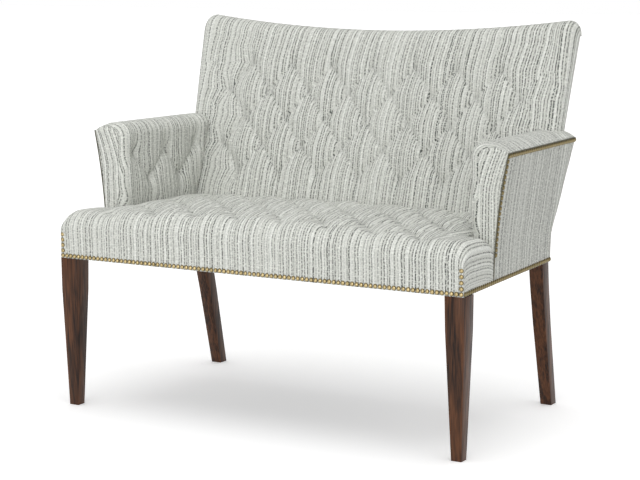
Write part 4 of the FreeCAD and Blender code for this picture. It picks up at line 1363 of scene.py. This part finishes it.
class SETTEE_OT_front_seams(bpy.types.Operator):
    """Make the sewn seams beside the arm nails, from the bottom rail up and along the arm"""

    bl_idname = "settee.front_seams"
    bl_label = "Front seams"

    def execute(self, context):
        thread = made_of("seam_cord", seam_look)
        proud, corner, up_points, along_points = 0.4, 2, 40, 24
        foot = rail_bottom + 2 * nail_margin
        places = [(arm_front - proud, z) for z in np.linspace(foot, arm_edge, up_points)]
        places += [(y, arm_edge) for y in np.linspace(arm_front + corner, arm_line_end(), along_points)]
        for name, side in sides.items():
            path = bpy.data.curves.new(name + "_seam_path", "CURVE")
            path.dimensions = "3D"
            path.bevel_depth = seam_radius * MM
            path.bevel_resolution = 2
            path.use_fill_caps = True
            run = path.splines.new("POLY")
            run.points.add(len(places) - 1)
            for point, (y, z) in zip(run.points, places):
                x = side * (arm_side(y, z) + proud)
                point.co = (x * MM, (front_depth + y) * MM, z * MM, 1)
            mesh = final_mesh(linked(name + "_seam_path", path))
            piece = placed(name + "_front_seam", mesh, thread)
            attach(piece, "root")
        return {"FINISHED"}


class SETTEE_OT_nail_trim(bpy.types.Operator):
    """Set the brass nails"""

    bl_idname = "settee.nail_trim"
    bl_label = "Nail trim"

    def execute(self, context):
        metal = made_of("nail_metal", brass_look)
        # Painted shade for the side and arm rows, which face away from the light.
        worn = 0.78
        low = rail_bottom + nail_margin
        reach = half_front - nail_margin
        self.row("front_nails", [(-reach, 0, low), (reach, 0, low)], [(0, -1, 0)] * 2, metal)
        for name, side in sides.items():
            sideways = Vector((side, side_taper, 0)).normalized()
            edge = side * reach
            first, last = [corner.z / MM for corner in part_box(name + "_corner_nails")]
            self.row(name + "_corner_nails", [(edge, 0, first + nail_radius), (edge, 0, last - nail_radius)],
                     [(0, -1, 0)] * 2, metal)
            end = frame_depth + panel_thick - nail_margin
            self.row(name + "_side_nails", [(side * side_x(nail_margin), nail_margin, low),
                                            (side * side_x(end), end, low)], [sideways] * 2, metal, worn)
            self.row(name + "_arm_nails", *self.arm_line(side), metal, worn)
        return {"FINISHED"}

    def count_of(self, node):
        """Number of separate nails in a CAD node, from the points of one nail."""
        return len(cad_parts[node].data.vertices) // nail_points

    def row(self, node, points, normals, metal, patina=0.0):
        """One row of nail heads in place of a CAD node."""
        mesh = nail_row(node, points, normals, self.count_of(node), metal, patina)
        hand_over(linked(node + "_heads", mesh), "nail_brass", node)

    def arm_line(self, side):
        """Line of nails up the front edge and along the top edge of the outside arm panel."""
        near, far, up_points = arm_front + nail_margin, arm_line_end(), 24
        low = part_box("right_arm_nails")[0].z / MM + nail_margin
        heights = np.linspace(low, arm_edge - nail_margin, up_points)
        slope = 2 * arm_flare * (heights - rail_bottom) / (arm_edge - rail_bottom) ** 2
        points = [(side * arm_side(near, z), near, z) for z in heights]
        normals = [Vector((side, 0, -lean)).normalized() for lean in slope]
        last = heights[-1]
        points.append((side * arm_side(far, last), far, last))
        normals.append(normals[-1])
        return points, normals


class SETTEE_OT_legs(bpy.types.Operator):
    """Finish the four legs"""

    bl_idname = "settee.legs"
    bl_label = "Legs"

    def execute(self, context):
        finish = context.scene.settee_finish
        wood = made_of("polished_leg_wood", wood_look, finish.wood_dark, finish.wood_light, (0, 0, 0), 0.06)
        for name in ("front_left_leg", "front_right_leg", "rear_left_leg", "rear_right_leg"):
            piece = placed(name + "_turned", eased_copy(name, 0.0014, 2), wood)
            hand_over(piece, "leg_wood", name)
        return {"FINISHED"}


class SETTEE_OT_inner_frame(bpy.types.Operator):
    """Finish the hidden frame, webbing, foam and linings"""

    bl_idname = "settee.inner_frame"
    bl_label = "Inner frame"

    def execute(self, context):
        pale = ((0.30, 0.17, 0.075, 1), (0.56, 0.38, 0.20, 1))
        quarter = math.radians(90)
        runs = {"frame_wood_across": (0, quarter, 0), "frame_wood_deep": (quarter, 0, 0),
                "frame_wood_up": (0, 0, 0)}
        woods = {name: made_of(name, wood_look, *pale, turn, 0.0) for name, turn in runs.items()}
        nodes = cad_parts
        dress([n for n in nodes if n.endswith("_rail") and n.startswith(("front_seat", "rear_seat", "back"))],
              woods["frame_wood_across"])
        dress([n for n in nodes if n.endswith(("left_seat_rail", "right_seat_rail", "seat_cross_rail",
                                               "arm_top_rail", "arm_low_rail"))], woods["frame_wood_deep"])
        dress([n for n in nodes if n.endswith(("_block", "_post", "back_upright"))], woods["frame_wood_up"])
        dress([n for n in nodes if "_straps_" in n], made_of("jute_webbing", webbing_look))
        foam = made_of("cut_foam", foam_look)
        for name in ("seat_foam", "back_foam", "left_arm_foam", "right_arm_foam"):
            piece = placed(name + "_block", eased_copy(name, 0.0035, 3), foam)
            hand_over(piece, "foam", name)
        self.line_arms()
        self.close_underside()
        return {"FINISHED"}

    def line_arms(self):
        """Linings stretched over the inner sides of the arm frames."""
        inset, margin = 22.4, 6
        for name, side in sides.items():
            low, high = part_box(name + "_arm_lining")
            top, near, far = high.z / MM, arm_front + margin, high.y / MM - front_depth
            near_x, far_x = [side * (arm_inner(y) + inset) for y in (near, far)]
            low_end, top_end = [back_front(z) - seam_gap for z in (deck_height, top)]
            corners = [(near_x, near, deck_height), (far_x, low_end, deck_height),
                       (far_x, min(top_end, far), top), (near_x, near, top)]
            piece = self.cloth_sheet(name + "_arm_lining_cloth", corners)
            hand_over(piece, "lining", name + "_arm_lining")
            flat = (np.linalg.norm(np.subtract(corners[1], corners[0])) * MM, (high.z - low.z))
            area = self.area(piece)
            flat = (max(flat[0], area / flat[1]), flat[1])

    def close_underside(self):
        """The dust cover stretched below the seat frame."""
        inset, rear_extra, level = 41, 10, rail_bottom - 0.5
        half = [side_x(y) - panel_thick - inset for y in (panel_thick, frame_depth)]
        corners = [(-half[0], 3, level), (half[0], 3, level),
                   (half[1] + rear_extra, frame_depth, level), (-half[1] - rear_extra, frame_depth, level)]
        piece = self.cloth_sheet("dust_cover_cloth", corners)
        hand_over(piece, "lining", "dust_cover")
        area = self.area(piece)
        length = (frame_depth - 3) * MM
        max(area / length, 2 * half[0] * MM)

    def cloth_sheet(self, name, corners):
        """A stretched sheet between four corners."""
        first, second, third, fourth = [np.array(corner, float) for corner in corners]
        columns, rows = 40, 24
        s = np.linspace(0, 1, columns)[None, :, None]
        t = np.linspace(0, 1, rows)[:, None, None]
        places = (first * (1 - s) + second * s) * (1 - t) + (fourth * (1 - s) + third * s) * t
        skin = Skin()
        skin.add(places, places[..., :2])
        lining = made_of("black_lining", lining_look)
        return walled(placed(name, skin.mesh(name, (0, 200, 380)), lining), 0.0008)

    def area(self, piece):
        """Area of a piece's faces in square metres."""
        return sum(face.area for face in piece.data.polygons)


class SETTEE_PT_panel(bpy.types.Panel):
    """Steps that build the settee, in order"""

    bl_idname = "SETTEE_PT_panel"
    bl_label = "Settee"
    bl_space_type = "VIEW_3D"
    bl_region_type = "UI"
    bl_category = "Settee"

    def draw(self, context):
        for step in steps:
            self.layout.operator(step.bl_idname)
        for settings in [getattr(context.scene, name) for name in groups]:
            box = self.layout.box()
            for name in settings.__annotations__:
                box.prop(settings, name)


steps = (SETTEE_OT_stage, SETTEE_OT_seat_pad, SETTEE_OT_back_pad, SETTEE_OT_arm_pads,
         SETTEE_OT_outside_panels, SETTEE_OT_front_seams, SETTEE_OT_nail_trim, SETTEE_OT_legs,
         SETTEE_OT_inner_frame)
groups = {"settee_cloth": ClothSettings, "settee_tufting": TuftSettings, "settee_finish": FinishSettings}


def register():
    for name, kind in groups.items():
        bpy.utils.register_class(kind)
        setattr(bpy.types.Scene, name, bpy.props.PointerProperty(type=kind))
    for kind in steps + (SETTEE_PT_panel,):
        bpy.utils.register_class(kind)


def unregister():
    for kind in (SETTEE_PT_panel,) + steps[::-1]:
        bpy.utils.unregister_class(kind)
    for name, kind in groups.items():
        delattr(bpy.types.Scene, name)
        bpy.utils.unregister_class(kind)


def main():
    register()
    bpy.ops.settee.stage()
    bpy.ops.settee.seat_pad()
    bpy.ops.settee.back_pad()
    bpy.ops.settee.arm_pads()
    bpy.ops.settee.outside_panels()
    bpy.ops.settee.front_seams()
    bpy.ops.settee.nail_trim()
    bpy.ops.settee.legs()
    bpy.ops.settee.inner_frame()


if __name__ == "__main__":
    main()
